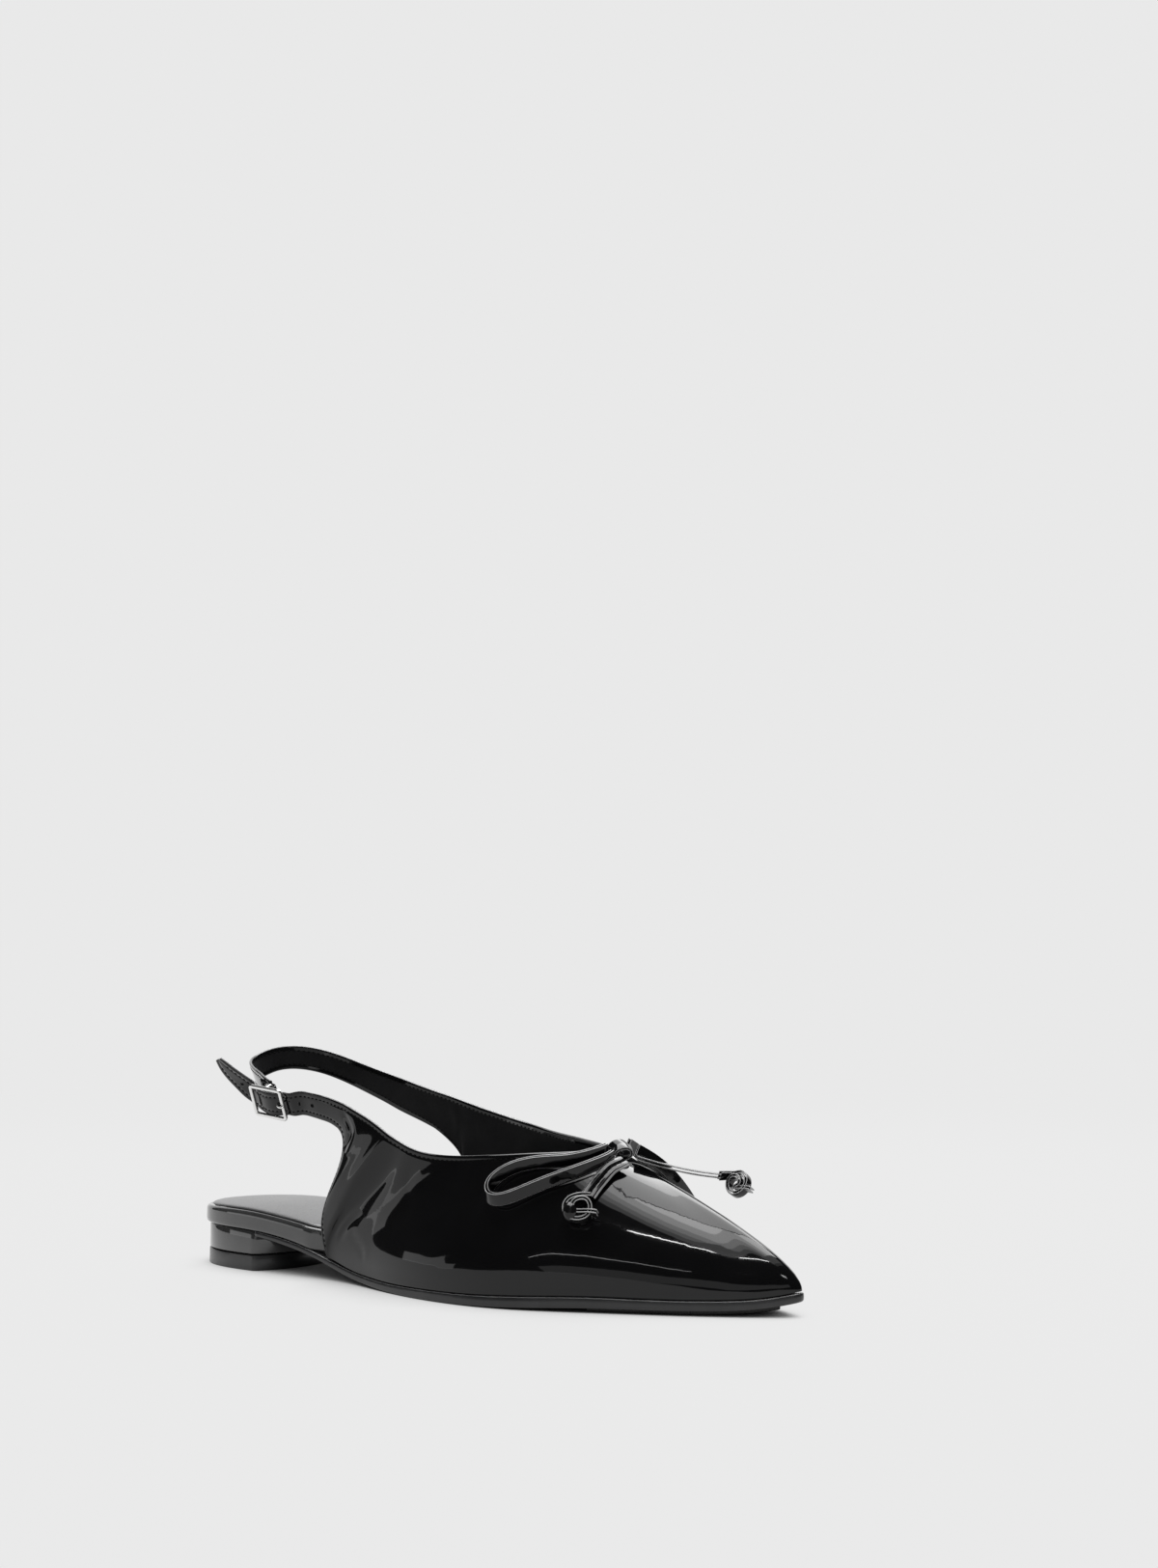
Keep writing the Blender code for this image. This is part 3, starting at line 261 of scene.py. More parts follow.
def _sides():
    loop = np.array(LATERAL + MEDIAL[-2:0:-1])
    k = 5
    ext = np.vstack((loop[-k:], loop, loop[:k + 1]))
    d = chord(ext)
    start, tip, end = k, k + len(LATERAL) - 1, k + len(loop)
    lat = spline(d, ext, np.linspace(d[start], d[tip], 900))
    med = spline(d, ext, np.linspace(d[end], d[tip], 900))
    return lat, med


LAT_CURVE, MED_CURVE = _sides()


def plan_point(side, x):
    c = LAT_CURVE if side < 0 else MED_CURVE
    i = int(np.argmin(np.abs(c[:, 0] - x)))
    if x >= LENGTH - 1e-6:
        return c[-1].copy(), np.array([1.0, 0.0])
    a, b = c[max(i - 4, 0)], c[min(i + 4, len(c) - 1)]
    t = unit(b - a)
    n = np.array([t[1], -t[0]]) if side < 0 else np.array([-t[1], t[0]])
    return np.array([x, np.interp(x, c[:, 0], c[:, 1])]), n


def closed_plan(count):
    lat = spread(LAT_CURVE, count + 1)
    med = spread(MED_CURVE, count + 1)
    return np.vstack((lat, med[-2:0:-1]))


def inset(loop, amount):
    t = unit(np.roll(loop, -1, 0) - np.roll(loop, 1, 0))
    return loop + np.stack((-t[:, 1], t[:, 0]), 1) * np.reshape(amount, (-1, 1))


def breast_arc(count, grow=0.0):
    half = 24.2
    r = (half ** 2 + BREAST_BULGE ** 2) / (2 * BREAST_BULGE)
    cx = BREAST_X + BREAST_BULGE - r
    a = np.linspace(math.asin(half / r), 0, count)
    return np.stack((cx + (r + grow) * np.cos(a), -(r + grow) * np.sin(a)), 1)


# ---------------------------------------------------------------------- pieces
PIECES = {}


def piece(name, verts_mm, faces, mats, slot_of=None, replaces=(), sharp=None):
    """A smooth mesh from millimetre points that rides on the shoe."""
    v = np.asarray(verts_mm, float).copy()
    v[:, 0] -= HEEL_CENTRE
    v *= MM
    mesh = bpy.data.meshes.new(name)
    mesh.from_pydata([tuple(p) for p in v], [], [tuple(int(i) for i in f) for f in faces])
    for m in mats:
        mesh.materials.append(m)
    if slot_of is not None:
        mesh.polygons.foreach_set("material_index", np.asarray(slot_of, np.int32))
    mesh.validate()
    mesh.shade_smooth()
    if sharp:
        mesh.set_sharp_from_angle(angle=math.radians(sharp))
    mesh.update()
    ob = bpy.data.objects.new(name, mesh)
    bpy.context.scene.collection.objects.link(ob)
    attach(ob, "root")
    if replaces:
        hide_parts(*replaces)
    PIECES[name] = ob
    return ob


def loft(rings, closed_ends=True, flip=False):
    """Faces between closed rings of equal count, with fan-free end caps."""
    n = len(rings[0])
    faces = []
    for r in range(len(rings) - 1):
        i = np.arange(n)
        j = (i + 1) % n
        q = np.stack((r * n + i, r * n + j, (r + 1) * n + j, (r + 1) * n + i), 1)
        faces.extend(q.tolist())
    if closed_ends:
        faces.append(list(range(n))[::-1])
        faces.append(list(range((len(rings) - 1) * n, len(rings) * n)))
    if flip:
        faces = [f[::-1] for f in faces]
    return faces


def stack(rings):
    n = len(rings[0])
    faces = loft(rings, False)
    half = n // 2
    for base, flip in ((0, True), ((len(rings) - 1) * n, False)):
        for i in range(half):
            a, b = base + i, base + i + 1
            c, d = base + (n - i - 1) % n, base + (n - i) % n
            quad = [a, b, c, d] if i else [a, b, c]
            if i == half - 1:
                quad = [a, b, d] if i else [a, b]
            if len(set(quad)) > 2:
                faces.append(quad[::-1] if flip else quad)
    return np.vstack(rings), faces


def plate(loop, steps):
    mid_lo, mid_hi = loop[:, 0].min(), loop[:, 0].max()
    rings = []
    n = len(loop)
    for ins, shrink, height in steps:
        p = inset(loop, ins) if np.ndim(ins) or ins else loop.copy()
        if shrink < 1:
            mate = p[(n - np.arange(n)) % n]
            sy = (p[:, 1] + mate[:, 1]) / 2
            sx = np.clip(p[:, 0], mid_lo + 16, mid_hi - 22)
            sx = (sx + sx[(n - np.arange(n)) % n]) / 2
            p = np.stack((sx, sy), 1) * (1 - shrink) + p * shrink
        rings.append(np.column_stack((p, height(p[:, 0], p[:, 1]))))
    return stack(rings)


def sweep(path, a, b, section, closed=False, scale=None):
    """A closed section (a, b columns) carried along a path."""
    path, a, b = np.asarray(path), np.asarray(a), np.asarray(b)
    sec = np.asarray(section, float)
    k = np.ones(len(path)) if scale is None else np.asarray(scale)
    rings = [path[i] + (sec[:, :1] * a[i] + sec[:, 1:] * b[i]) * k[i] for i in range(len(path))]
    m = len(sec)
    faces = loft(rings, not closed)
    if closed:
        last = (len(rings) - 1) * m
        for i in range(m):
            j = (i + 1) % m
            faces.append([last + i, last + j, j, i])
    return np.vstack(rings), faces


def rounded(w, t, r, arc=4):
    """Rounded rectangle, counter-clockwise."""
    pts = []
    for sx, sy, a0 in ((1, 1, 0), (-1, 1, 90), (-1, -1, 180), (1, -1, 270)):
        for a in np.linspace(0, 90, arc + 1):
            q = math.radians(a0 + a)
            pts.append((sx * (w / 2 - r) + r * math.cos(q), sy * (t / 2 - r) + r * math.sin(q)))
    return np.array(pts)


def join(parts):
    verts, faces, slots, off = [], [], [], 0
    for v, f, s in parts:
        verts.append(v)
        faces.extend([[i + off for i in q] for q in f])
        slots.extend(s if isinstance(s, list) else [s] * len(f))
        off += len(v)
    return np.vstack(verts), faces, slots


def facing_out(path):
    along = unit(np.gradient(np.asarray(path, float), axis=0))
    return along


# ------------------------------------------------------------------- materials
def nodes_of(name):
    m = bpy.data.materials.new(name)
    m.use_nodes = True
    nt = m.node_tree
    return m, nt, nt.nodes["Principled BSDF"], nt.nodes.new, nt.links.new


def place(nt):
    return nt.nodes.new("ShaderNodeTexCoord").outputs["Object"]


def noise(nt, coord, scale, detail=3.0, rough=0.5):
    n = nt.nodes.new("ShaderNodeTexNoise")
    n.inputs["Scale"].default_value = scale
    n.inputs["Detail"].default_value = detail
    n.inputs["Roughness"].default_value = rough
    nt.links.new(coord, n.inputs["Vector"])
    return n.outputs["Fac"]


def bump(nt, height, strength, distance, after=None):
    b = nt.nodes.new("ShaderNodeBump")
    b.inputs["Strength"].default_value = strength
    b.inputs["Distance"].default_value = distance
    nt.links.new(height, b.inputs["Height"])
    if after is not None:
        nt.links.new(after, b.inputs["Normal"])
    return b.outputs["Normal"]


def ramp(nt, fac, stops):
    r = nt.nodes.new("ShaderNodeValToRGB")
    els = r.color_ramp.elements
    while len(els) < len(stops):
        els.new(0.5)
    for e, (pos, col) in zip(els, stops):
        e.position = pos
        e.color = (*col, 1.0) if len(col) == 3 else col
    nt.links.new(fac, r.inputs["Fac"])
    return r.outputs["Color"]


def spread_range(nt, fac, lo, hi):
    r = nt.nodes.new("ShaderNodeMapRange")
    r.inputs["To Min"].default_value = lo
    r.inputs["To Max"].default_value = hi
    nt.links.new(fac, r.inputs["Value"])
    return r.outputs["Result"]


def patent(name, colour=(0.0030, 0.0030, 0.0033), wave=0.10, fine=0.04, rough=(0.05, 0.12), coat_ior=1.385):
    m, nt, b, new, link = nodes_of(name)
    c = place(nt)
    broad = noise(nt, c, 58.0, 1.5, 0.4)
    small = noise(nt, c, 190.0, 2.0, 0.5)
    grain = noise(nt, c, 1500.0, 2.0, 0.5)
    n1 = bump(nt, broad, wave, 0.0011)
    n2 = bump(nt, small, wave * 0.45, 0.00030, n1)
    n3 = bump(nt, grain, fine, 0.00003, n2)
    link(n3, b.inputs["Normal"])
    link(n2, b.inputs["Coat Normal"])
    link(spread_range(nt, noise(nt, c, 320.0, 4.0, 0.6), *rough), b.inputs["Roughness"])
    link(ramp(nt, noise(nt, c, 90.0, 3.0), [(0.3, colour), (0.8, tuple(k * 1.5 for k in colour))]),
         b.inputs["Base Color"])
    b.inputs["IOR"].default_value = 1.46
    b.inputs["Coat Weight"].default_value = 1.0
    b.inputs["Coat Roughness"].default_value = 0.02
    b.inputs["Coat IOR"].default_value = coat_ior
    b.inputs["Specular IOR Level"].default_value = 0.08
    return m


def plain(name, colour, rough, spec=0.5, grain_scale=900.0, grain=0.3, depth=0.00008, vary=0.25,
          sheen=0.0, metallic=0.0, coat=0.0):
    m, nt, b, new, link = nodes_of(name)
    c = place(nt)
    lo = tuple(k * (1 - vary) for k in colour)
    hi = tuple(min(1, k * (1 + vary)) for k in colour)
    link(ramp(nt, noise(nt, c, 140.0, 4.0, 0.6), [(0.3, lo), (0.7, hi)]), b.inputs["Base Color"])
    link(spread_range(nt, noise(nt, c, 420.0, 3.0), rough - 0.06, rough + 0.08), b.inputs["Roughness"])
    n1 = bump(nt, noise(nt, c, grain_scale, 3.0, 0.6), grain, depth)
    link(n1, b.inputs["Normal"])
    b.inputs["Specular IOR Level"].default_value = spec
    b.inputs["Metallic"].default_value = metallic
    b.inputs["Sheen Weight"].default_value = sheen
    b.inputs["Coat Weight"].default_value = coat
    return m


def lining_mat(name, colour, rough, spec=0.4, cloudy=0.28):
    """Fine leather grain with a faint cloudy unevenness."""
    m, nt, b, new, link = nodes_of(name)
    c = place(nt)
    v = new("ShaderNodeTexVoronoi")
    v.inputs["Scale"].default_value = 1600.0
    link(c, v.inputs["Vector"])
    pores = noise(nt, c, 2600.0, 3.0, 0.7)
    cloud = noise(nt, c, 110.0, 5.0, 0.62)
    lo, hi = tuple(k * (1 - cloudy) for k in colour), tuple(k * (1 + cloudy) for k in colour)
    link(ramp(nt, cloud, [(0.32, lo), (0.7, hi)]), b.inputs["Base Color"])
    link(spread_range(nt, pores, rough - 0.08, rough + 0.1), b.inputs["Roughness"])
    n1 = bump(nt, cloud, 0.25, 0.0004)
    n2 = bump(nt, v.outputs["Distance"], 0.35, 0.00006, n1)
    link(bump(nt, pores, 0.3, 0.00003, n2), b.inputs["Normal"])
    b.inputs["Specular IOR Level"].default_value = spec
    return m


def metal_mat(name):
    m, nt, b, new, link = nodes_of(name)
    c = place(nt)
    link(spread_range(nt, noise(nt, c, 900.0, 4.0, 0.6), 0.06, 0.16), b.inputs["Roughness"])
    link(ramp(nt, noise(nt, c, 260.0, 3.0), [(0.3, (0.80, 0.80, 0.79)), (0.8, (0.90, 0.90, 0.89))]),
         b.inputs["Base Color"])
    link(bump(nt, noise(nt, c, 700.0, 2.0), 0.12, 0.00004), b.inputs["Normal"])
    b.inputs["Metallic"].default_value = 1.0
    return m


def tread_mat(name):
    m, nt, b, new, link = nodes_of(name)
    c = place(nt)
    w = new("ShaderNodeTexWave")
    w.wave_type = "BANDS"
    w.bands_direction = "X"
    w.inputs["Scale"].default_value = 160.0
    w.inputs["Distortion"].default_value = 1.2
    w.inputs["Detail Scale"].default_value = 2.0
    link(c, w.inputs["Vector"])
    link(ramp(nt, noise(nt, c, 200.0, 4.0), [(0.3, (0.016, 0.016, 0.016)), (0.7, (0.03, 0.03, 0.03))]),
         b.inputs["Base Color"])
    b.inputs["Roughness"].default_value = 0.6
    n1 = bump(nt, w.outputs["Fac"], 0.8, 0.0003)
    link(bump(nt, noise(nt, c, 1200.0, 3.0), 0.3, 0.00008, n1), b.inputs["Normal"])
    return m


PATENT = patent("patent_black")
# the heel and platform wrap is the upper's black patent with its base raised about twelvefold: a painted lighter
# reflection
PATENT_WRAP = patent("patent_wrap_black", (0.036, 0.036, 0.0365), wave=0.07, coat_ior=1.72)
PATENT_BOW = patent("patent_strip_black", wave=1.50, coat_ior=1.40)
# pale grey for the bow's cut edges: a painted highlight along each edge
CUT_EDGE_HIGHLIGHT = plain("cut_edge_painted_highlight", (0.34, 0.34, 0.342), 0.30, grain=0.2, coat=0.3)
# lighter grey for the crown of the rolled patent edges: a painted highlight line
ROLLED_EDGE_HIGHLIGHT = plain("rolled_edge_painted_highlight", (0.105, 0.105, 0.106), 0.26, grain=0.2, coat=0.5)
LINING = lining_mat("grey_lining", (0.0085, 0.0085, 0.009), 0.52, 0.14)
SOCK = lining_mat("grey_sock", (0.115, 0.115, 0.117), 0.28, 0.6, 0.10)
THREAD = plain("black_thread", (0.0035, 0.0035, 0.0035), 0.75, spec=0.08, grain_scale=4000.0, grain=0.6, depth=0.00004)
# near-black matte disc in each punched hole: painted shade of its depth
HOLE_SHADE = plain("punched_hole_painted_shade", (0.003, 0.003, 0.003), 0.9, spec=0.1)
SOLE = plain("sole_edge_black", (0.020, 0.020, 0.021), 0.30, grain_scale=700.0, grain=0.2, depth=0.00005, coat=0.15)
# pale grey for the band along the outsole's top bevel: a painted highlight line
SOLE_TOP_HIGHLIGHT = plain("sole_top_painted_highlight", (0.16, 0.16, 0.162), 0.28, grain=0.4, coat=0.4)
SOLE_UNDER = plain("sole_under_black", (0.022, 0.022, 0.023), 0.48, grain_scale=500.0, grain=0.35, depth=0.0001)
LIFT = plain("lift_black", (0.018, 0.018, 0.019), 0.30, grain_scale=800.0, grain=0.25, depth=0.00006, coat=0.25)
TREAD = tread_mat("tread_black")
METAL = metal_mat("bright_silver")


# ------------------------------------------------------------------- the upper
def upper_rows(nu, dense):
    ribs = []
    for row in LATERAL_EDGE + MEDIAL_EDGE:
        low, top, belly = np.array(row[:3]), np.array(row[3:6]), row[6]
        out = np.array([0.0, math.copysign(1.0, low[1]), 0.0])
        ribs.append((low, low + (top - low) / 3 + out * belly,
                     low + (top - low) * 2 / 3 + out * belly, top))
    edge_l, edge_m = ribs[:len(LATERAL_EDGE)], ribs[len(LATERAL_EDGE):]
    sole = []
    for side, sx, tx, ty, tz, rise, flare, reach, drop in SOLE_RIBS:
        p, n = plan_point(side, sx)
        p = p - n * FEATHER_INSET
        low = np.array([p[0], p[1], seam(p[0])[0] + GAP])
        top = np.array([tx, ty, tz])
        toward = unit(np.array([low[0] - top[0], low[1] - top[1], 0.0]))
        sole.append((low, low + np.array([n[0] * flare, n[1] * flare, rise]),
                     top + toward * reach - np.array([0, 0, drop]), top))
    ribs = np.array(edge_l + sole + edge_m)
    m = (ribs[:, 0] + ribs[:, 1] * 3 + ribs[:, 2] * 3 + ribs[:, 3]) / 8
    step = (np.linalg.norm(np.diff(m, axis=0), axis=1)
            + np.linalg.norm(np.diff(ribs[:, 0], axis=0), axis=1)
            + np.linalg.norm(np.diff(ribs[:, 3], axis=0), axis=1)) / 3
    at = np.concatenate(([0.0], np.cumsum(step)))
    u = np.linspace(at[0], at[-1], nu)
    c = spline(at, ribs.reshape(len(ribs), 12), u).reshape(nu, 4, 3)
    first, last = len(LATERAL_EDGE), len(LATERAL_EDGE) + len(SOLE_RIBS) - 1
    stands = (u > at[first]) & (u < at[last])
    lift = np.where(stands, seam(c[:, 0, 0]) + GAP - c[:, 0, 2], 0.0)
    c[:, 0, 2] += lift
    c[:, 1, 2] += lift * 0.6
    t = np.linspace(0, 1, dense)[None, :, None]
    rows = ((1 - t) ** 3 * c[:, None, 0] + 3 * t * (1 - t) ** 2 * c[:, None, 1]
            + 3 * t * t * (1 - t) * c[:, None, 2] + t ** 3 * c[:, None, 3])
    return rows, stands


def heel_strap_rows(count, dense):
    h = np.array(HEEL_STRAP)
    d = chord(h[:, :3])
    r = spline(d, h, np.linspace(0, d[-1], count))
    top, width, lean = r[:, :3], r[:, 3:4], r[:, 4:5]
    along = unit(np.gradient(top, axis=0))
    out = unit(np.stack((along[:, 1], -along[:, 0], np.zeros(count)), 1))
    mid = np.array([36.0, 2.0, 0.0])
    flip = np.sign(((top - mid) * out * [1, 1, 0]).sum(1, keepdims=True))
    out = out * np.where(flip == 0, 1, np.sign(np.median(flip)))
    down = unit(np.cross(along, out))
    down = down * -np.sign(down[:, 2:3])
    low = top + down * width + out * lean
    t = np.linspace(0, 1, dense)[None, :, None]
    return low[:, None] * (1 - t) + top[:, None] * t


def buckle_axes():
    f = unit(BUCKLE_FRONT)
    u = np.asarray(BUCKLE_UP, float)
    u = unit(u - f * (u @ f))
    o = unit(np.cross(f, u))
    if o[1] > 0:
        o = -o
    return np.array(BUCKLE_AT), f, u, o


def in_buckle(rows):
    at, f, u, o = buckle_axes()
    r = np.atleast_2d(np.asarray(rows, float))
    return at + r[:, :1] * f + r[:, 1:2] * o + r[:, 2:3] * u


def lateral_strap(count):
    at, f, u, o = buckle_axes()
    run = np.array(STRAP_RUN)
    root = np.array(STRAP_ROOT)
    pts = np.vstack((root, in_buckle(run[:, :3])))
    low, top = np.array(LATERAL_EDGE[0][:3]), np.array(LATERAL_EDGE[0][3:6])
    turn = np.linspace(0, 1, len(root) + 1)[:-1, None]
    first = unit(unit(top - low) * (1 - turn) + u * turn)
    rest = run[:, 3:4] * f + run[:, 4:5] * o + run[:, 5:6] * u
    d = chord(pts)
    s = np.linspace(0, d[-1], count)
    p = spline(d, pts, s)
    c = spline(d, np.vstack((first, unit(rest))), s)
    along = unit(np.gradient(p, axis=0))
    out = unit(np.cross(along, c))
    out = out * np.sign((out[0] @ np.array([0, -1.0, 0])))
    c = unit(c - along * (c * along).sum(1, keepdims=True))
    return p, out, c


def crease_shift(points):
    """How far each point of the wall is moved along its outward normal."""
    p = points.reshape(-1, 3)
    total = np.zeros(len(p))
    for side, depth, width, line in CREASES:
        q = np.array(line).reshape(-1, 2)
        q = smooth_path(q, 40)
        best = np.full(len(p), 1e9)
        along = np.zeros(len(p))
        sgn = np.zeros(len(p))
        for i in range(len(q) - 1):
            a, b = q[i], q[i + 1]
            ab = b - a
            w = p[:, [0, 2]] - a
            t = np.clip((w @ ab) / (ab @ ab), 0, 1)
            e = w - t[:, None] * ab
            d = np.hypot(e[:, 0], e[:, 1])
            near = d < best
            best = np.where(near, d, best)
            along = np.where(near, (i + t) / (len(q) - 1), along)
            sgn = np.where(near, np.sign(ab[0] * e[:, 1] - ab[1] * e[:, 0]), sgn)
        fade = smooth_step(along, 0.0, 0.22) * smooth_step(1 - along, 0.0, 0.22)
        on = (np.sign(p[:, 1]) == side) | (np.abs(p[:, 1]) < 0.1)
        d = best * sgn
        shape = -np.exp(-(d / width) ** 2) + 0.55 * np.exp(-((d - 1.7 * width) / (1.1 * width)) ** 2)
        total += np.where(on, depth * shape * fade, 0.0)
    return total.reshape(points.shape[:-1])


def soft_wave(points):
    """Slow unevenness that makes the gloss run in wavy bands."""
    x, y, z = points[..., 0], points[..., 1], points[..., 2]
    calm = 0.22 + 0.78 * (1 - smooth_step(x, 150.0, 185.0))
    calm = calm * (0.45 + 0.55 * smooth_step(x, 118.0, 135.0))
    return calm * (0.045 * np.sin(x / 9.1 + z / 12.0 + 0.6) * np.sin(z / 7.3 - x / 31.0)
                   + 0.016 * np.sin(x / 4.3 - z / 9.1 + y / 9.0)
                   + 0.007 * np.sin(x / 2.7 + z / 6.7 + 1.9) * np.sin(z / 4.9))


DENSE = 81
EDGE_STEPS = np.array([0.0, 0.35, 0.7, 1.05, 1.4, 1.7, 1.95, 2.2, 2.6, 3.2])
MIDDLE = 26
STITCH_AT = 1.95


def build_leather():
    up, stands = upper_rows(560, DENSE)
    p, o, c = lateral_strap(120)
    w = STRAP_W - 5.6 * np.linspace(0, 1, 120) ** 12
    t = np.linspace(-0.5, 0.5, DENSE)
    lat = (p[:, None] + o[:, None] * STRAP_T / 2
           + c[:, None] * (t[None, :, None] * w[:, None, None]))[::-1]
    heel = heel_strap_rows(190, DENSE)
    # bend the last of the heel strap out to the centre bar
    at, f, u, out = buckle_axes()
    d = chord(heel[:, 40])
    ease = smooth_step(d, d[-1] - 12.0, d[-1]) * 1.5
    heel = heel + ease[:, None, None] * out
    rows = np.concatenate((lat, up, heel))
    a, b = len(lat), len(lat) + len(up)
    thick = np.full(len(rows), WALL)
    thick[:a] = STRAP_T
    thick[b:] = STRAP_T
    for k in range(40):
        thick[1:-1] = (thick[:-2] + thick[1:-1] + thick[2:]) / 3
    for centre in (a, b):
        lo, hi = centre - 9, centre + 12
        for _ in range(60):
            rows[lo:hi] = (rows[lo - 1:hi - 1] + 2 * rows[lo:hi] + rows[lo + 1:hi + 1]) / 4
    on_sole = np.zeros(len(rows), bool)
    on_sole[a:b] = stands

    # columns at set distances from both edges
    n = len(rows)
    nv = len(EDGE_STEPS) * 2 + MIDDLE
    grid = np.zeros((n, nv, 3))
    top_d = np.zeros((n, nv))
    low_d = np.zeros((n, nv))
    for i in range(n):
        s = chord(rows[i])
        L = s[-1]
        r = thick[i] / 2
        rl = 0.2 if on_sole[i] else r
        k = min(1.0, (L - r - rl) / 8.0)
        e = EDGE_STEPS * k
        lo, hi = rl + e, L - r - e[::-1]
        mid = np.linspace(lo[-1], hi[0], MIDDLE + 2)[1:-1]
        pos = np.concatenate((lo, mid, hi))
        for q in range(3):
            grid[i, :, q] = np.interp(pos, s, rows[i, :, q])
        top_d[i], low_d[i] = L - pos, pos

    def normals(g):
        return unit(np.cross(np.gradient(g, axis=0), np.gradient(g, axis=1)))

    nrm = normals(grid)
    inner_n = nrm.copy()
    # creases and unevenness fade out at the edges and on the straps
    is_upper = np.zeros(n)
    is_upper[a:b] = 1.0
    for k in range(30):
        is_upper[1:-1] = (is_upper[:-2] + is_upper[1:-1] + is_upper[2:]) / 3
    fade = smooth_step(top_d, 1.2, 6.0) * smooth_step(low_d, 0.8, 5.0)
    pinch = smooth_step(top_d, 0.5, 3.0) * smooth_step(low_d, 0.5, 2.5)
    shift = crease_shift(grid) * np.minimum(1.0, pinch) + soft_wave(grid) * fade * is_upper[:, None]
    # stitch lines pull the leather in a little
    trough = -0.17 * np.exp(-((top_d - STITCH_AT) / 0.45) ** 2)
    low_stitch = ~on_sole
    trough += np.where(low_stitch[:, None], -0.17 * np.exp(-((low_d - STITCH_AT) / 0.45) ** 2), 0.0)
    outer = grid + nrm * (shift + trough)[..., None]
    back = thick[:, None, None] - (shift * 0.6)[..., None]
    inner = grid - inner_n * back
    onrm = normals(outer)

    # closed section: outside up, rolled top edge, inside down, rolled low edge
    dv_top = unit(outer[:, -1] - outer[:, -3])
    dv_low = unit(outer[:, 0] - outer[:, 2])
    turns = np.linspace(0, math.pi, 9)[1:-1]
    section = [outer]
    ct = (outer[:, -1] + inner[:, -1]) / 2
    ht = (outer[:, -1] - inner[:, -1]) / 2
    rt = np.linalg.norm(ht, axis=1, keepdims=True)
    section.append(np.stack([ct + ht * math.cos(q) + dv_top * rt * math.sin(q) for q in turns], 1))
    section.append(inner[:, ::-1])
    cl = (outer[:, 0] + inner[:, 0]) / 2
    hl = (inner[:, 0] - outer[:, 0]) / 2
    rl = np.linalg.norm(hl, axis=1, keepdims=True)
    bulge = np.where(on_sole, 0.25, 1.0)[:, None]
    section.append(np.stack([cl + hl * math.cos(q) + dv_low * rl * bulge * math.sin(q) for q in turns], 1))
    loop = np.concatenate(section, 1)
    m = loop.shape[1]
    verts = loop.reshape(-1, 3)
    k = len(turns)
    # 0 patent, 1 lining: the patent turns over the edge for about a millimetre; 2 the crown of each rolled edge,
    #                     lighter as a painted highlight
    turned = 4
    col_slot = np.zeros(m, int)
    col_slot[nv + k + turned: nv + k + nv - turned] = 1
    col_slot[nv + 2: nv + k - 2] = 2
    col_slot[2 * nv + k + 2: 2 * nv + 2 * k - 2] = 2
    faces, slots = [], []
    i = np.arange(n - 1)
    for j in range(m):
        q = (j + 1) % m
        f4 = np.stack((i * m + j, (i + 1) * m + j, (i + 1) * m + q, i * m + q), 1)
        faces.extend(f4.tolist())
        slots.extend([int(col_slot[j])] * (n - 1))
    for row, flip in ((0, False), (n - 1, True)):
        base = row * m
        for j in range(nv - 1):
            b2 = nv + k + (nv - 1 - j)
            quad = [base + j, base + j + 1, base + b2 - 1, base + b2]
            faces.append(quad[::-1] if flip else quad)
            slots.append(0)
        top_cap = [base + nv - 1] + [base + nv + x for x in range(k)] + [base + nv + k]
        low_cap = [base + 2 * nv + k - 1] + [base + 2 * nv + k + x for x in range(k)] + [base]
        for cap in (top_cap, low_cap):
            faces.append(cap[::-1] if flip else cap)
            slots.append(0)
    piece("upper_and_straps", verts, faces, [PATENT, LINING, ROLLED_EDGE_HIGHLIGHT], slots,
          ("upper", "heel_strap", "buckle_strap"))

    def line_at(dist_grid, dist, first, last, outer=outer, onrm=onrm):
        pts, ns = [], []
        for r in range(first, last):
            col = dist_grid[r]
            order = np.argsort(col)
            pts.append([np.interp(dist, col[order], outer[r, order, q]) for q in range(3)])
            ns.append([np.interp(dist, col[order], onrm[r, order, q]) for q in range(3)])
        return np.array(pts), unit(ns)

    return {"top": line_at(top_d, STITCH_AT, 6, n - 6),
            "low_back": line_at(low_d, STITCH_AT, 6, a + int(np.argmax(stands))),
            "low_front": line_at(low_d, STITCH_AT, b - int(np.argmax(stands[::-1])), n - 6),
            "in_top": line_at(top_d, STITCH_AT, 6, n - 6, inner, -inner_n),
            "in_low": line_at(low_d, STITCH_AT, b - int(np.argmax(stands[::-1])), n - 6, inner, -inner_n),
            "outer": outer, "normal": onrm, "splits": (a, b)}


def stitches(name, lines, length=1.35, pitch=2.05, radius=0.30):
    """Sunk thread: one rounded stitch after another along each line."""
    ring = [(-1.0, 0.10), (-0.86, 0.55), (-0.5, 0.9), (0.0, 1.0), (0.5, 0.9), (0.86, 0.55), (1.0, 0.10)]
    around = 8
    ang = np.linspace(0, 2 * math.pi, around, endpoint=False)
    parts = []
    for pts, ns in lines:
        d = chord(pts)
        for s in np.arange(0.8, d[-1] - length, pitch):
            a = np.array([np.interp(s, d, pts[:, q]) for q in range(3)])
            b = np.array([np.interp(s + length, d, pts[:, q]) for q in range(3)])
            nn = unit(np.array([np.interp(s + length / 2, d, ns[:, q]) for q in range(3)]))
            t = unit(b - a)
            side = unit(np.cross(nn, t))
            mid = (a + b) / 2 + nn * 0.03
            half = np.linalg.norm(b - a) / 2
            rings = []
            for x, r in ring:
                dip = -0.16 * x * x
                rings.append(mid + t * x * half + nn * dip
                             + r * radius * (np.cos(ang)[:, None] * side + 0.8 * np.sin(ang)[:, None] * nn))
            parts.append((np.vstack(rings), loft(rings), 0))
    v, f, s = join(parts)
    piece(name, v, f, [THREAD], s)


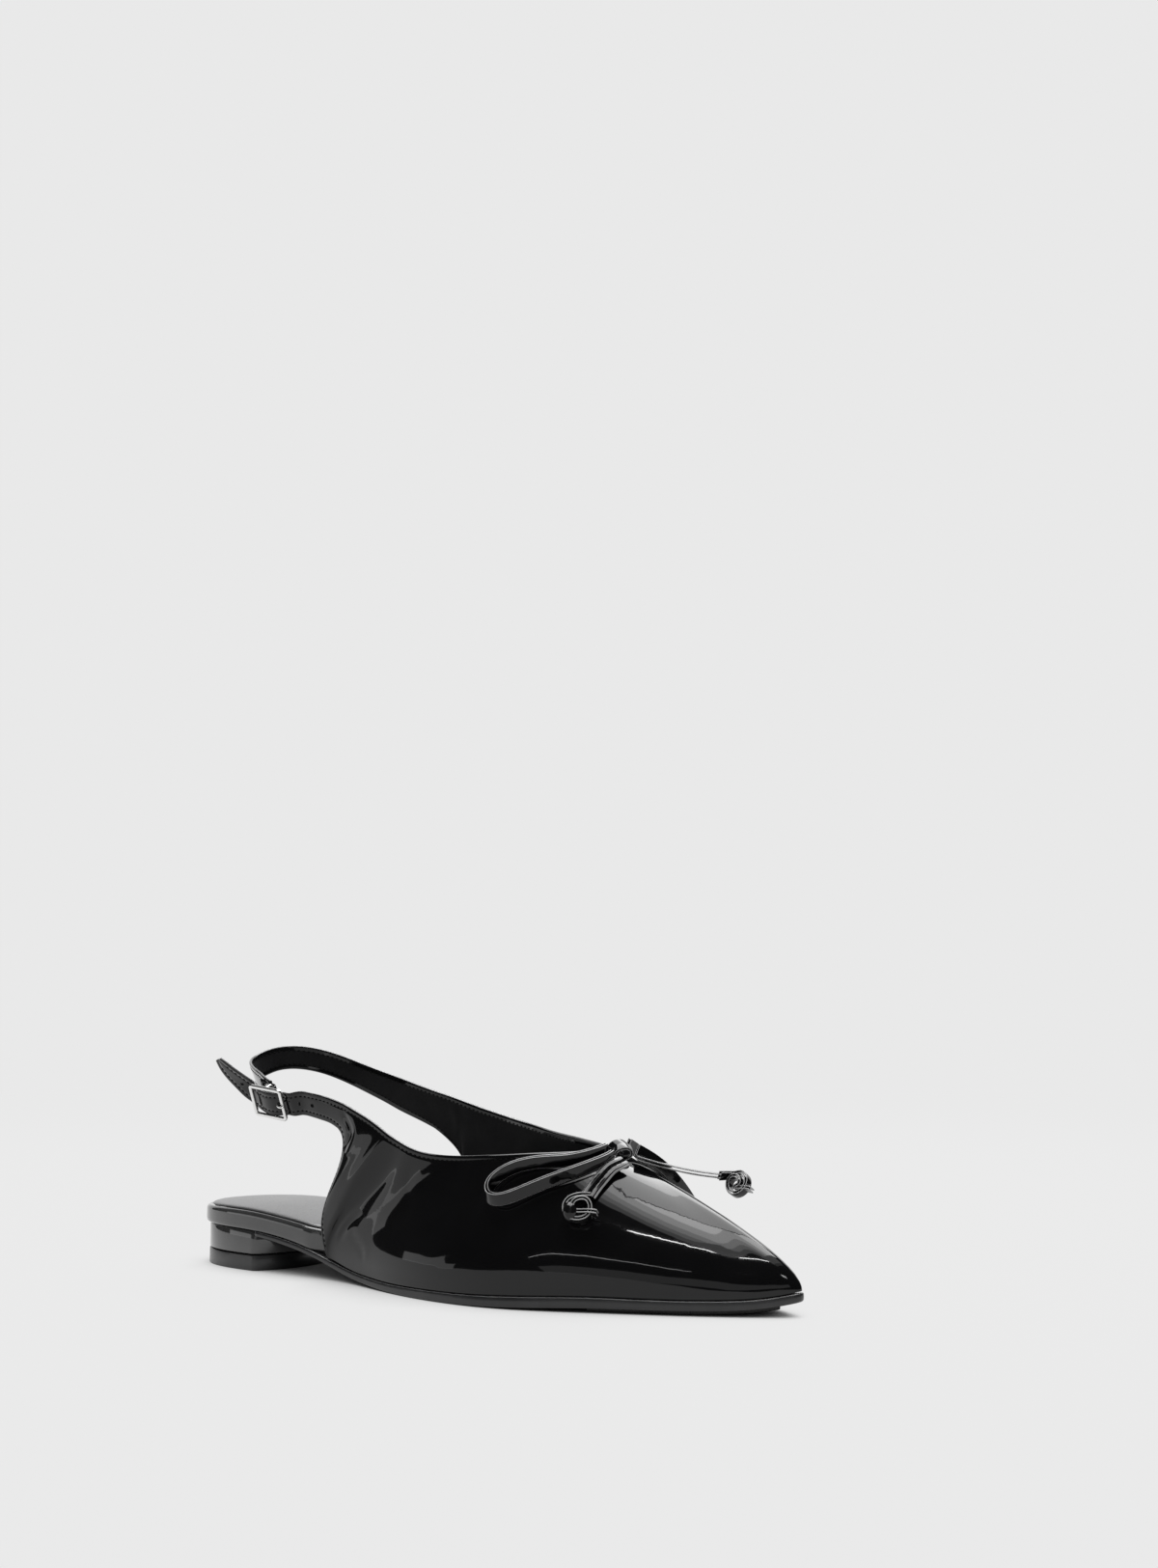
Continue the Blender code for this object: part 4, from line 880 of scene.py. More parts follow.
# ---------------------------------------------------------------- sole and heel
def heel_loop(extra, corner, count):
    side = LAT_CURVE[LAT_CURVE[:, 0] < 60]
    n = unit(np.gradient(side, axis=0))
    side = side + np.stack((-n[:, 1], n[:, 0]), 1) * (HEEL_INSET + extra)
    arc = breast_arc(25, -extra)
    side = side[side[:, 0] < arc[0, 0] - corner]
    edge = np.array([arc[0, 0], side[-1, 1]])
    a, b = side[-1], arc[0] * (1 - 0.65) + arc[3] * 0.65
    turn = [(1 - t) ** 2 * a + 2 * t * (1 - t) * edge + t * t * b for t in np.linspace(0.08, 0.92, 10)]
    half = np.vstack((spread(side, count), turn, arc[4:]))
    half[0, 1] = half[-1, 1] = 0.0
    return np.vstack((half, half[-2:0:-1] * np.array([1.0, -1.0])))


def flat(z):
    return lambda x, y: np.full(len(x), float(z))


def off(fn, dz):
    return lambda x, y: fn(x, y) + dz


def build_sole():
    # top lift
    lp = heel_loop(0.0, 0.8, 70)
    lo, hi = flat(0.0), flat(LIFT_TOP)
    v, f = plate(lp, [(0.45, 0.3, lo), (0.45, 1.0, lo), (0.12, 1.0, off(lo, 0.12)), (0.0, 1.0, off(lo, 0.4)),
                      (0.0, 1.0, off(lo, 3.0)), (0.0, 1.0, off(hi, -0.5)), (0.1, 1.0, off(hi, -0.14)),
                      (0.45, 1.0, hi), (0.45, 0.3, hi)])
    piece("top_lift_fine", v, f, [LIFT], None, ("top_lift",), 50)
    # heel block, covered
    lp = heel_loop(0.0, BREAST_CORNER, 70)
    lo = flat(BLOCK_FOOT)
    hi = lambda x, y: seam(x) - GAP
    mid = lambda x, y: (seam(x) - GAP + BLOCK_FOOT) / 2
    v, f = plate(lp, [(0.7, 0.3, lo), (0.7, 1.0, lo), (0.2, 1.0, off(lo, 0.16)), (0.0, 1.0, off(lo, 0.6)),
                      (0.05, 1.0, mid), (0.0, 1.0, off(hi, -0.7)), (0.2, 1.0, off(hi, -0.2)),
                      (0.7, 1.0, hi), (0.7, 0.3, hi)])
    piece("heel_block_fine", v, f, [PATENT_WRAP], None, ("heel_block",), 50)

    # outsole
    def half(curve, sign):
        arc = breast_arc(25, GAP)[::-1] * np.array([1.0, 1.0 if sign < 0 else -1.0])
        side = curve[curve[:, 0] > arc[-1, 0] + 1.2]
        return np.vstack((arc, spread(side, 150)))

    lat, med = half(LAT_CURVE, -1), half(MED_CURVE, 1)
    lp = np.vstack((lat, med[-2:0:-1]))
    dn = lambda x, y: under(x)
    tp = lambda x, y: seam(x)
    v, f = plate(lp, [(1.6, 0.3, dn), (1.6, 1.0, dn), (0.75, 1.0, off(dn, 0.08)), (0.3, 1.0, off(dn, 0.30)),
                      (0.1, 1.0, off(dn, 0.7)), (0.02, 1.0, lambda x, y: (under(x) + seam(x)) / 2),
                      (0.06, 1.0, off(tp, -0.55)), (0.22, 1.0, off(tp, -0.2)), (0.5, 1.0, off(tp, -0.03)),
                      (0.9, 1.0, tp), (3.0, 0.3, tp)])
    n = len(lp)
    # slot 1 the face underneath, slot 2 the band along the top bevel, painted pale as a highlight line
    slot_of = [1 if min(q) < 2 * n and max(q) < 3 * n else
               2 if min(q) >= 7 * n and max(q) < 9 * n else 0 for q in f]
    piece("outsole_fine", v, f, [SOLE, SOLE_UNDER, SOLE_TOP_HIGHLIGHT], slot_of, ("outsole",), 60)

    # forefoot tread
    x0, x1 = TREAD_X
    th = np.linspace(0, math.pi / 2, 80)
    tx = x0 + (x1 - x0) * np.sin(th)
    pinch = np.clip(1 - ((tx - x0) / (x1 - x0)) ** 8, 0, 1) ** 0.5
    sides = []
    for c, sign in ((LAT_CURVE, -1), (MED_CURVE, 1)):
        y = np.interp(tx, c[:, 0], c[:, 1]) - sign * TREAD_INSET
        y = TIP_Y + (y - TIP_Y) * pinch
        rear = np.column_stack((np.full(12, x0), np.linspace(TIP_Y, y[0], 13)[:12]))
        sides.append(np.vstack((rear, np.column_stack((tx, y)))))
    lp = np.vstack((sides[0], sides[1][-2:0:-1]))

    def low(x, y):
        z = np.maximum(under(x) - TREAD_DROP, 0.0)
        return np.where(x < TREAD_FLAT[1], 0.0, z)

    high = lambda x, y: under(x) - 0.05
    v, f = plate(lp, [(0, 0.25, low), (0, 0.6, low), (0, 0.97, low), (0, 0.992, off(low, 0.06)),
                      (0, 1.0, off(low, 0.3)), (0, 1.0, high), (0, 0.6, high), (0, 0.25, high)])
    piece("forefoot_tread_fine", v, f, [TREAD], None, ("forefoot_tread",), 60)

    # insole board: wrapped and rolled at the open heel
    N = 190
    lp = closed_plan(N)
    inside = np.where(np.arange(len(lp)) <= N, smooth_step(lp[:, 0], 70.0, 77.5),
                      smooth_step(lp[:, 0], 89.0, 97.5)) * BOARD_INSET
    sm = lambda x, y: seam(x) + GAP
    ft = lambda x, y: foot(x)
    v, f = plate(lp, [(inside + 1.5, 0.3, sm), (inside + 0.7, 1.0, sm), (inside + 0.3, 1.0, off(sm, 0.1)),
                      (inside + 0.05, 1.0, off(sm, 0.5)), (inside - 0.06, 1.0, off(sm, 1.6)),
                      (inside - 0.06, 1.0, off(ft, -2.6)), (inside - 0.02, 1.0, off(ft, -1.5)),
                      (inside + 0.10, 1.0, off(ft, -0.85)), (inside + 0.38, 1.0, off(ft, -0.38)),
                      (inside + 0.80, 1.0, off(ft, -0.08)), (inside + 1.3, 1.0, off(ft, 0.02)),
                      (inside + 1.8, 1.0, off(ft, -0.10)), (inside + 2.2, 1.0, off(ft, -0.35)),
                      (inside + 3.0, 1.0, off(ft, -0.55)), (inside + 3.2, 0.3, off(ft, -0.55))])
    piece("insole_board_fine", v, f, [PATENT_WRAP], None, ("insole_board",), 70)

    # sock, a little crowned, its edge turned down into the groove
    base = lambda x, y: foot(x) - 0.25 + 0.1
    crown = lambda k: (lambda x, y: foot(x) + 0.05 + k)
    v, f = plate(lp, [(inside + 3.0, 0.3, base), (inside + 2.8, 1.0, base), (inside + 2.5, 1.0, off(base, 0.25)),
                      (inside + 2.55, 1.0, crown(0.35)), (inside + 2.85, 1.0, crown(0.66)),
                      (inside + 3.4, 1.0, crown(0.84)), (inside + 5.0, 1.0, crown(0.98)),
                      (inside + 5.0, 0.8, crown(1.08)), (inside + 5.0, 0.5, crown(1.2)),
                      (inside + 5.0, 0.2, crown(1.25))])
    piece("insole_sock_fine", v, f, [SOCK], None, ("insole_sock",), 70)


# ---------------------------------------------------------------------- buckle
def build_buckle():
    at, fr, up, out = buckle_axes()
    L, H, W = FRAME_L / 2, FRAME_H / 2, FRAME_W
    # frame: a rounded wire bent into a rectangle
    path, nrm = [], []
    cl, ch, r = L - W / 2, H - W / 2, 0.95
    for sx, sz, a0 in ((1, -1, -90), (1, 1, 0), (-1, 1, 90), (-1, -1, 180)):
        for a in np.linspace(0, 90, 9):
            t = math.radians(a0 + a)
            path.append((sx * (cl - r) + r * math.cos(t), sz * (ch - r) + r * math.sin(t)))
            nrm.append((math.cos(t), math.sin(t)))
    path, nrm = np.array(path), np.array(nrm)
    # add points along the straight sides
    P, Nn = [], []
    for i in range(len(path)):
        j = (i + 1) % len(path)
        k = max(1, int(np.linalg.norm(path[j] - path[i]) / 0.8))
        for t in np.arange(k) / k:
            P.append(path[i] * (1 - t) + path[j] * t)
            Nn.append(unit(nrm[i] * (1 - t) + nrm[j] * t))
    P, Nn = np.array(P), np.array(Nn)
    world = in_buckle([(x, 0.0, z) for x, z in P])
    a = Nn[:, :1] * fr + Nn[:, 1:] * up
    b = np.tile(out, (len(P), 1))
    th = np.linspace(0, 2 * math.pi, 20, endpoint=False)
    sec = np.column_stack((np.sign(np.cos(th)) * np.abs(np.cos(th)) ** 0.72,
                           np.sign(np.sin(th)) * np.abs(np.sin(th)) ** 0.72)) * W / 2
    v1, f1 = sweep(world, a, b, sec, closed=True)
    # set-back centre bar
    prof = smooth_corners([(-H + 0.75, -0.2), (-H + 0.75, -3.2), (H - 0.75, -3.2), (H - 0.75, -0.2)], 0.8)
    world = in_buckle([(0.0, o_, z_) for z_, o_ in prof])
    tan = unit(np.gradient(world, axis=0))
    a = np.tile(fr, (len(world), 1))
    b = unit(np.cross(tan, a))
    v2, f2 = sweep(world, a, b, rounded(1.4, 1.0, 0.35))
    v, f, s = join([(v1, f1, 0), (v2, f2, 0)])
    piece("buckle_frame_fine", v, f, [METAL], s, ("buckle_frame",), 60)

    # prong with its curl round the bar
    run = [(-0.9, -4.0, 0.0), (-1.3, -3.2, 0.0), (-0.6, -2.3, 0.0), (1.2, -2.1, 0.0), (3.0, -2.0, 0.0),
           (4.5, -1.3, 0.0), (5.4, 0.1, 0.0), (6.6, 1.25, 0.0), (8.2, 1.55, 0.0), (9.6, 1.35, 0.0)]
    mid = smooth_path(in_buckle(run), 60)
    tan = unit(np.gradient(mid, axis=0))
    a = np.tile(up, (len(mid), 1))
    b = unit(np.cross(tan, a))
    s = np.linspace(0, 1, len(mid))
    scale = np.sqrt(np.clip(1 - ((s - 0.5) / 0.502) ** 12, 0.0, 1)) * (1 - 0.18 * s)
    scale = np.maximum(scale, 0.12)
    v, f = sweep(mid, a, b, np.column_stack((np.cos(th), 0.85 * np.sin(th))) * 0.62, scale=scale)
    piece("buckle_prong_fine", v, f, [METAL], None, ("buckle_prong",), 70)

    # the heel strap's end folded round the bar
    run = [(-8.5, -6.0), (-6.0, -5.9), (-3.2, -5.4), (-0.6, -4.75), (1.2, -4.3), (1.75, -3.3), (1.2, -2.35),
           (0.0, -2.0), (-1.2, -2.25), (-2.1, -3.0), (-3.4, -3.9), (-5.8, -4.4)]
    pts = smooth_path([(s_, o_) for s_, o_ in run], 70)
    world = in_buckle([(s_, o_, 1.2 - 0.05 * s_) for s_, o_ in pts])
    tan = unit(np.gradient(world, axis=0))
    a = np.tile(up, (len(world), 1))
    b = unit(np.cross(tan, a))
    v, f = sweep(world, a, b, rounded(9.0, 0.7, 0.3))
    piece("heel_strap_fold", v, f, [PATENT_BOW], None)


def smooth_corners(points, r):
    p = np.array(points, float)
    out = [p[0]]
    for i in range(1, len(p) - 1):
        a = p[i] + unit(p[i - 1] - p[i]) * r
        b = p[i] + unit(p[i + 1] - p[i]) * r
        for t in np.linspace(0, 1, 7):
            out.append((1 - t) ** 2 * a + 2 * t * (1 - t) * p[i] + t * t * b)
    out.append(p[-1])
    return np.array(out)


def strap_holes(leather):
    """Punched holes along the middle of the buckle strap, each covered by a near-black disc as painted shade."""
    p, o, c = lateral_strap(240)
    d = chord(p)
    at, f, u, out = buckle_axes()
    s_of = (p - at) @ f
    parts = []
    ang = np.linspace(0, 2 * math.pi, 28, endpoint=False)
    for target in HOLES_AT:
        cand = np.argmin(np.abs(s_of - target) + (d > d[-1] * 0.86) * 1e3)
        along = unit(p[min(cand + 1, 239)] - p[max(cand - 1, 0)])
        mid = p[cand] + o[cand] * (STRAP_T / 2)
        rim = []
        for r, h in ((1.15, -0.03), (1.08, 0.035), (0.95, 0.055), (0.84, 0.02), (0.80, -0.1)):
            rim.append(mid + o[cand] * h + r * (np.cos(ang)[:, None] * along * 1.05 + np.sin(ang)[:, None] * c[cand] * 0.82))
        faces = loft(rim, False)
        parts.append((np.vstack(rim), faces, 0))
        # a near-black disc over each hole stands in for the hole's depth as painted shade
        disc = mid + o[cand] * 0.012 + 0.86 * (np.cos(ang)[:, None] * along * 1.05 + np.sin(ang)[:, None] * c[cand] * 0.82)
        parts.append((disc, [list(range(28))], 1))
    v, f4, s = join(parts)
    piece("strap_holes", v, f4, [PATENT_BOW, HOLE_SHADE], s)


HOLES_AT = (14.4, 21.2, 5.0, -14.0)


# ------------------------------------------------------------------------- bow
def strip_parts(path, across, width=BOW_W, layer=0.46, gap=1.16):
    """Two layers of patent with pale cut edges, their grey a painted highlight, as sweeps."""
    path = np.asarray(path)
    along = unit(np.gradient(path, axis=0))
    c = np.asarray(across, float) * np.ones((len(path), 1))
    c = unit(c - along * (c * along).sum(1, keepdims=True))
    n = unit(np.cross(along, c))
    w = np.ones(len(path)) * width
    parts = []
    for side in (-1, 1):
        base = rounded(1.0, layer, min(0.27, layer / 2.2))
        rings = []
        for i in range(len(path)):
            sx = np.sign(base[:, 0]) * (w[i] / 2 - (0.5 - np.abs(base[:, 0])))
            rings.append(path[i] + n[i] * (side * gap / 2 + base[:, 1:2]) + c[i] * sx[:, None])
        faces = loft(rings)
        m = len(base)
        # the cut edges and the end caps take the pale material, a painted highlight
        edge = np.abs(base[:, 0]) > 0.5 - 0.13
        slot_of = []
        for q in faces:
            if len(q) > 4:
                slot_of.append(1)
            else:
                j = q[0] % m
                near = base[j, 0] * base[(j + 1) % m, 0] > 0
                slot_of.append(1 if near and edge[j] and edge[(j + 1) % m] else 0)
        parts.append((np.vstack(rings), faces, slot_of))
    return parts


def rolled_tail(path, across):
    """The strip turned in from both sides, its two rolls meeting in a wavy seam."""
    along = unit(np.gradient(path, axis=0))
    c = unit(np.asarray(across) - along * (along @ np.asarray(across))[:, None])
    n = unit(np.cross(along, c))
    n = n * np.sign(n[:, 1:2] * -1)
    th = np.linspace(0, 2 * math.pi, 20, endpoint=False)
    parts = []
    for side in (-1, 1):
        sec = np.column_stack((np.cos(th) * 1.36, np.sin(th) * 0.66))
        v, f = sweep(path + c * side * 1.34 + n * 0.1, c, n, sec)
        m = len(sec)
        # the outer side of each roll takes the pale material, a painted highlight
        outer = [j for j in range(m) if abs(math.sin(th[j])) < 0.62 and side * math.cos(th[j]) > 0.7]
        slot_of = [1 if len(q) == 4 and q[0] % m in outer else 0 for q in f]
        parts.append((v, f, slot_of))
    d = chord(path)
    s = np.linspace(0.4, d[-1] - 0.2, 150)
    mid = np.stack([np.interp(s, d, path[:, q]) for q in range(3)], 1)
    cc = np.stack([np.interp(s, d, c[:, q]) for q in range(3)], 1)
    nn = np.stack([np.interp(s, d, n[:, q]) for q in range(3)], 1)
    wave = np.abs(((s / 2.3) % 1.0) - 0.5) * 4 - 1
    mid = mid + cc * wave[:, None] * 0.42 + nn * 0.52
    sec = np.column_stack((np.cos(th[::3]), np.sin(th[::3]))) * 0.26
    v, f = sweep(mid, cc, nn, sec)
    parts.append((v, f, 2))
    return parts


def build_bow():
    for name, pts, across, count, node in (
            ("bow_loop_lateral_fine", LOOP_LATERAL, LOOP_ACROSS_L, 150, "bow_loop_lateral"),
            ("bow_loop_medial_fine", LOOP_MEDIAL, LOOP_ACROSS_M, 130, "bow_loop_medial"),
            ("bow_tail_lateral_fine", TAIL_LATERAL, TAIL_ACROSS_L, 50, "bow_tail_lateral"),
            ("bow_tail_medial_fine", TAIL_MEDIAL, TAIL_ACROSS_M, 60, "bow_tail_medial")):
        path = smooth_path(pts, count)
        parts = strip_parts(path, across)
        mats = [PATENT_BOW, CUT_EDGE_HIGHLIGHT]
        if node == "bow_tail_lateral":
            parts, mats = rolled_tail(path, across), [PATENT_BOW, CUT_EDGE_HIGHLIGHT, THREAD]
        v, f, s = join(parts)
        piece(name, v, f, mats, s, (node,), 55)


def local_path(middle, right, up, out, rows, count):
    r, u, o = unit(right), unit(up), unit(out)
    pts = [np.array(middle) + a * r + b * u + n * o for a, b, n in rows]
    return smooth_path(pts, count)


# Overhand knot seen from its outer side: right, up, out from its middle.
KNOT_TURN = [  # right, up, out
    (2.6, 4.6, -0.6), (0.2, 4.4, 0.0), (-3.0, 3.2, 0.5), (-4.6, 0.3, 0.7), (-3.5, -2.9, 0.6),
    (-0.2, -4.1, 0.3), (3.0, -3.0, 0.0), (4.2, 0.0, 0.1), (3.0, 2.4, 0.7), (0.4, 2.6, 1.3),
    (-1.7, 0.9, 1.4), (-1.4, -1.1, 0.9), (0.8, -1.5, 0.4), (3.6, -1.7, 0.6), (6.6, -2.3, 0.9)]


def build_knots():
    view_right = np.array([0.8316, 0.5553, 0.0])
    # lateral tail
    out = unit((0.38, -0.80, 0.46))
    right = unit(view_right - out * (view_right @ out))
    up = np.cross(out, right)
    up = up * np.sign(up[2])
    rows = list(KNOT_TURN)
    gap = np.array(TAIL_LATERAL[-1]) - np.array((196.6, -29.4, 34.4))
    rows[0] = (gap @ right, gap @ up, gap @ out)
    path = local_path((196.6, -29.4, 34.4), right, up, out, rows, 150)
    parts = strip_parts(path, out, width=3.2, layer=0.46, gap=1.05)
    heart = np.array((196.6, -29.4, 34.4)) - right * 2.7 - up * 1.2 + out * 0.7
    lump = []
    for lat in np.linspace(-1.45, 1.45, 17):
        th = np.linspace(0, 2 * math.pi, 30, endpoint=False)
        lump.append(heart + math.sin(lat) * up * 3.5 + math.cos(lat) * (
            np.cos(th)[:, None] * right * 2.8 + np.sin(th)[:, None] * out * 2.9))
    parts.append((np.vstack(lump), loft(lump), 0))
    v, f, s = join(parts)
    piece("tail_knot_lateral_fine", v, f, [PATENT_BOW, CUT_EDGE_HIGHLIGHT], s, ("tail_knot_lateral",), 55)
    # medial tail
    out = unit((-0.10, -0.85, 0.50))
    right = unit(view_right - out * (view_right @ out))
    up = np.cross(out, right)
    up = up * np.sign(up[2])
    rows = [(-a * 0.88, b * 0.95, n) for a, b, n in KNOT_TURN]
    gap = np.array(TAIL_MEDIAL[-1]) - np.array((230.9, 21.4, 40.0))
    rows[0] = (gap @ right, gap @ up, gap @ out)
    rows[-1] = (5.2, -4.2, 0.6)
    rows[-2] = (2.6, -2.9, 0.5)
    path = local_path((230.9, 21.4, 40.0), right, up, out, rows, 150)
    v, f, s = join(strip_parts(path, out, width=3.2, layer=0.46, gap=1.05))
    piece("tail_knot_medial_fine", v, f, [PATENT_BOW, CUT_EDGE_HIGHLIGHT], s, ("tail_knot_medial",), 55)
    # centre knot: the strip wound round the crossing of loops and tails
    mid = np.array((197.4, -3.2, 51.9))
    out = unit((0.45, -0.25, 0.86))
    axis = unit(np.cross(out, (0.45, 0.86, 0.0)))
    side = unit(np.cross(axis, out))
    parts = []
    for shift, tilt, size in ((-1.15, 0.25, 1.0), (1.2, -0.30, 0.96)):
        a = np.linspace(-0.15 * math.pi, 1.95 * math.pi, 70)
        ax = unit(axis + side * tilt)
        path = (mid + axis * shift + np.cos(a)[:, None] * side * 3.3 * size + np.sin(a)[:, None] * out * 2.4 * size
                + ax * (0.5 * np.sin(a * 0.5))[:, None])
        parts += strip_parts(path, ax, width=2.9, layer=0.44, gap=0.80)
    core = []
    for lat in np.linspace(-1.4, 1.4, 15):
        th = np.linspace(0, 2 * math.pi, 28, endpoint=False)
        core.append(mid + math.sin(lat) * axis * 3.9 + math.cos(lat) * (
            np.cos(th)[:, None] * side * 3.2 + np.sin(th)[:, None] * out * 2.3))
    parts.append((np.vstack(core), loft(core), 0))
    v, f, s = join(parts)
    piece("bow_knot_fine", v, f, [PATENT_BOW, CUT_EDGE_HIGHLIGHT], s, ("bow_knot",), 55)


# ------------------------------------------------------------ floor and light
def emission(name, colour, strength):
    m = bpy.data.materials.new(name)
    m.use_nodes = True
    nt = m.node_tree
    nt.nodes.remove(nt.nodes["Principled BSDF"])
    e = nt.nodes.new("ShaderNodeEmission")
    e.inputs["Color"].default_value = (*colour, 1.0)
    e.inputs["Strength"].default_value = strength
    nt.links.new(e.outputs[0], nt.nodes["Material Output"].inputs["Surface"])
    return m


def build_stage():
    # one sheet: pale floor that turns up into a backdrop far behind
    xs = np.linspace(-7.0, 7.0, 29)
    prof = [(-7.0, 0.0), (-2.0, 0.0), (0.0, 0.0), (2.0, 0.0), (4.0, 0.0)]
    for a in np.linspace(0, 90, 10)[1:]:
        t = math.radians(a)
        prof.append((4.0 + 1.5 * math.sin(t), 1.5 - 1.5 * math.cos(t)))
    prof.append((5.5, 6.0))
    v = [(x, y, z - 0.00005) for y, z in prof for x in xs]
    n = len(xs)
    f = [(r * n + i, r * n + i + 1, (r + 1) * n + i + 1, (r + 1) * n + i)
         for r in range(len(prof) - 1) for i in range(n - 1)]
    mesh = bpy.data.meshes.new("floor")
    mesh.from_pydata(v, [], f)
    mesh.shade_smooth()
    m, nt, b, new, link = nodes_of("pale_floor")
    b.inputs["Base Color"].default_value = (0.02, 0.02, 0.02, 1.0)
    b.inputs["Roughness"].default_value = 0.9
    b.inputs["Specular IOR Level"].default_value = 0.0
    b.inputs["Emission Color"].default_value = (1.0, 1.0, 1.0, 1.0)
    b.inputs["Emission Strength"].default_value = FLOOR_NEAR
    # the glow is FLOOR_NEAR round the shoe, rising to FLOOR_FAR between 0.4 and 1.3 m out: a slightly dimmer floor
    # near the shoe, painted fall-off of the light
    far = new("ShaderNodeEmission")
    far.inputs["Strength"].default_value = FLOOR_FAR
    size = new("ShaderNodeVectorMath")
    size.operation = "LENGTH"
    link(place(nt), size.inputs[0])
    fall = new("ShaderNodeMapRange")
    fall.interpolation_type = "SMOOTHSTEP"
    fall.inputs["From Min"].default_value = 0.40
    fall.inputs["From Max"].default_value = 1.30
    link(size.outputs["Value"], fall.inputs["Value"])
    shade = new("ShaderNodeBsdfPrincipled")
    shade.inputs["Base Color"].default_value = (0.10, 0.10, 0.10, 1.0)
    shade.inputs["Roughness"].default_value = 0.9
    # where ambient occlusion is low the floor's glow gives way to a dark diffuse: a painted contact shadow under the
    # shoe
    contact_shadow_ao = new("ShaderNodeAmbientOcclusion")
    contact_shadow_ao.samples = 8
    contact_shadow_ao.inputs["Distance"].default_value = 0.060
    gain = new("ShaderNodeMapRange")
    gain.interpolation_type = "SMOOTHSTEP"
    gain.inputs["From Min"].default_value = 0.08
    gain.inputs["From Max"].default_value = 0.75
    link(contact_shadow_ao.outputs["AO"], gain.inputs["Value"])
    near = new("ShaderNodeMixShader")
    link(gain.outputs["Result"], near.inputs["Fac"])
    link(shade.outputs[0], near.inputs[1])
    link(b.outputs[0], near.inputs[2])
    mix = new("ShaderNodeMixShader")
    link(fall.outputs["Result"], mix.inputs["Fac"])
    link(near.outputs[0], mix.inputs[1])
    link(far.outputs[0], mix.inputs[2])
    link(mix.outputs[0], nt.nodes["Material Output"].inputs["Surface"])
    mesh.materials.append(m)
    ob = bpy.data.objects.new("floor", mesh)
    ob.rotation_euler = (0, 0, math.radians(33.7))
    bpy.context.scene.collection.objects.link(ob)


def area(name, az, el, dist, w, h, level, aim=(0.12, 0.0, 0.03), roll=0.0):
    """Softbox in a direction seen from the shoe; level is its brightness."""
    a, e = math.radians(az), math.radians(el)
    d = Vector((math.cos(e) * math.cos(a), math.cos(e) * math.sin(a), math.sin(e)))
    light = bpy.data.lights.new(name, "AREA")
    light.shape = "RECTANGLE"
    light.size, light.size_y = w, h
    light.energy = level * math.pi * w * h
    ob = bpy.data.objects.new(name, light)
    ob.location = Vector(aim) + d * dist
    q = (-d).to_track_quat("-Z", "Y")
    ob.rotation_euler = (q.to_matrix() @ Matrix.Rotation(math.radians(roll), 3, "Z")).to_euler()
    ob.visible_camera = False
    bpy.context.scene.collection.objects.link(ob)
    return ob


FLOOR_NEAR, FLOOR_FAR = 0.79, 0.815
OVERHEAD = [  # name, x, y, size x, size y, level, turn: in one plane above the vamp
    ("over_back", -0.36, 0.05, 1.33, 1.10, 5.2, 0.0),
    ("over_far", -0.36, 1.00, 1.33, 0.80, 8.0, 0.0),
    ("over_front", 0.430, 0.30, 0.235, 1.00, 8.6, 0.0),
    ("over_front_2", 0.430, -0.30, 0.235, 0.20, 5.5, 0.0),
    ("over_front_3", 0.430, -0.47, 0.235, 0.14, 3.6, 0.0),
    ("over_front_4", 0.430, -0.60, 0.235, 0.12, 2.2, 0.0),
    ("over_front_5", 0.430, -0.72, 0.235, 0.12, 1.1, 0.0),
    ("over_dim", 0.640, -0.20, 0.185, 1.20, 1.1, 0.0),
    ("over_dim_2", 0.770, -0.20, 0.075, 1.10, 0.45, 0.0),
    ("over_tube", 0.600, -0.945, 0.62, 0.020, 38.0, 70.6)]
OVER_HEIGHT = 1.53
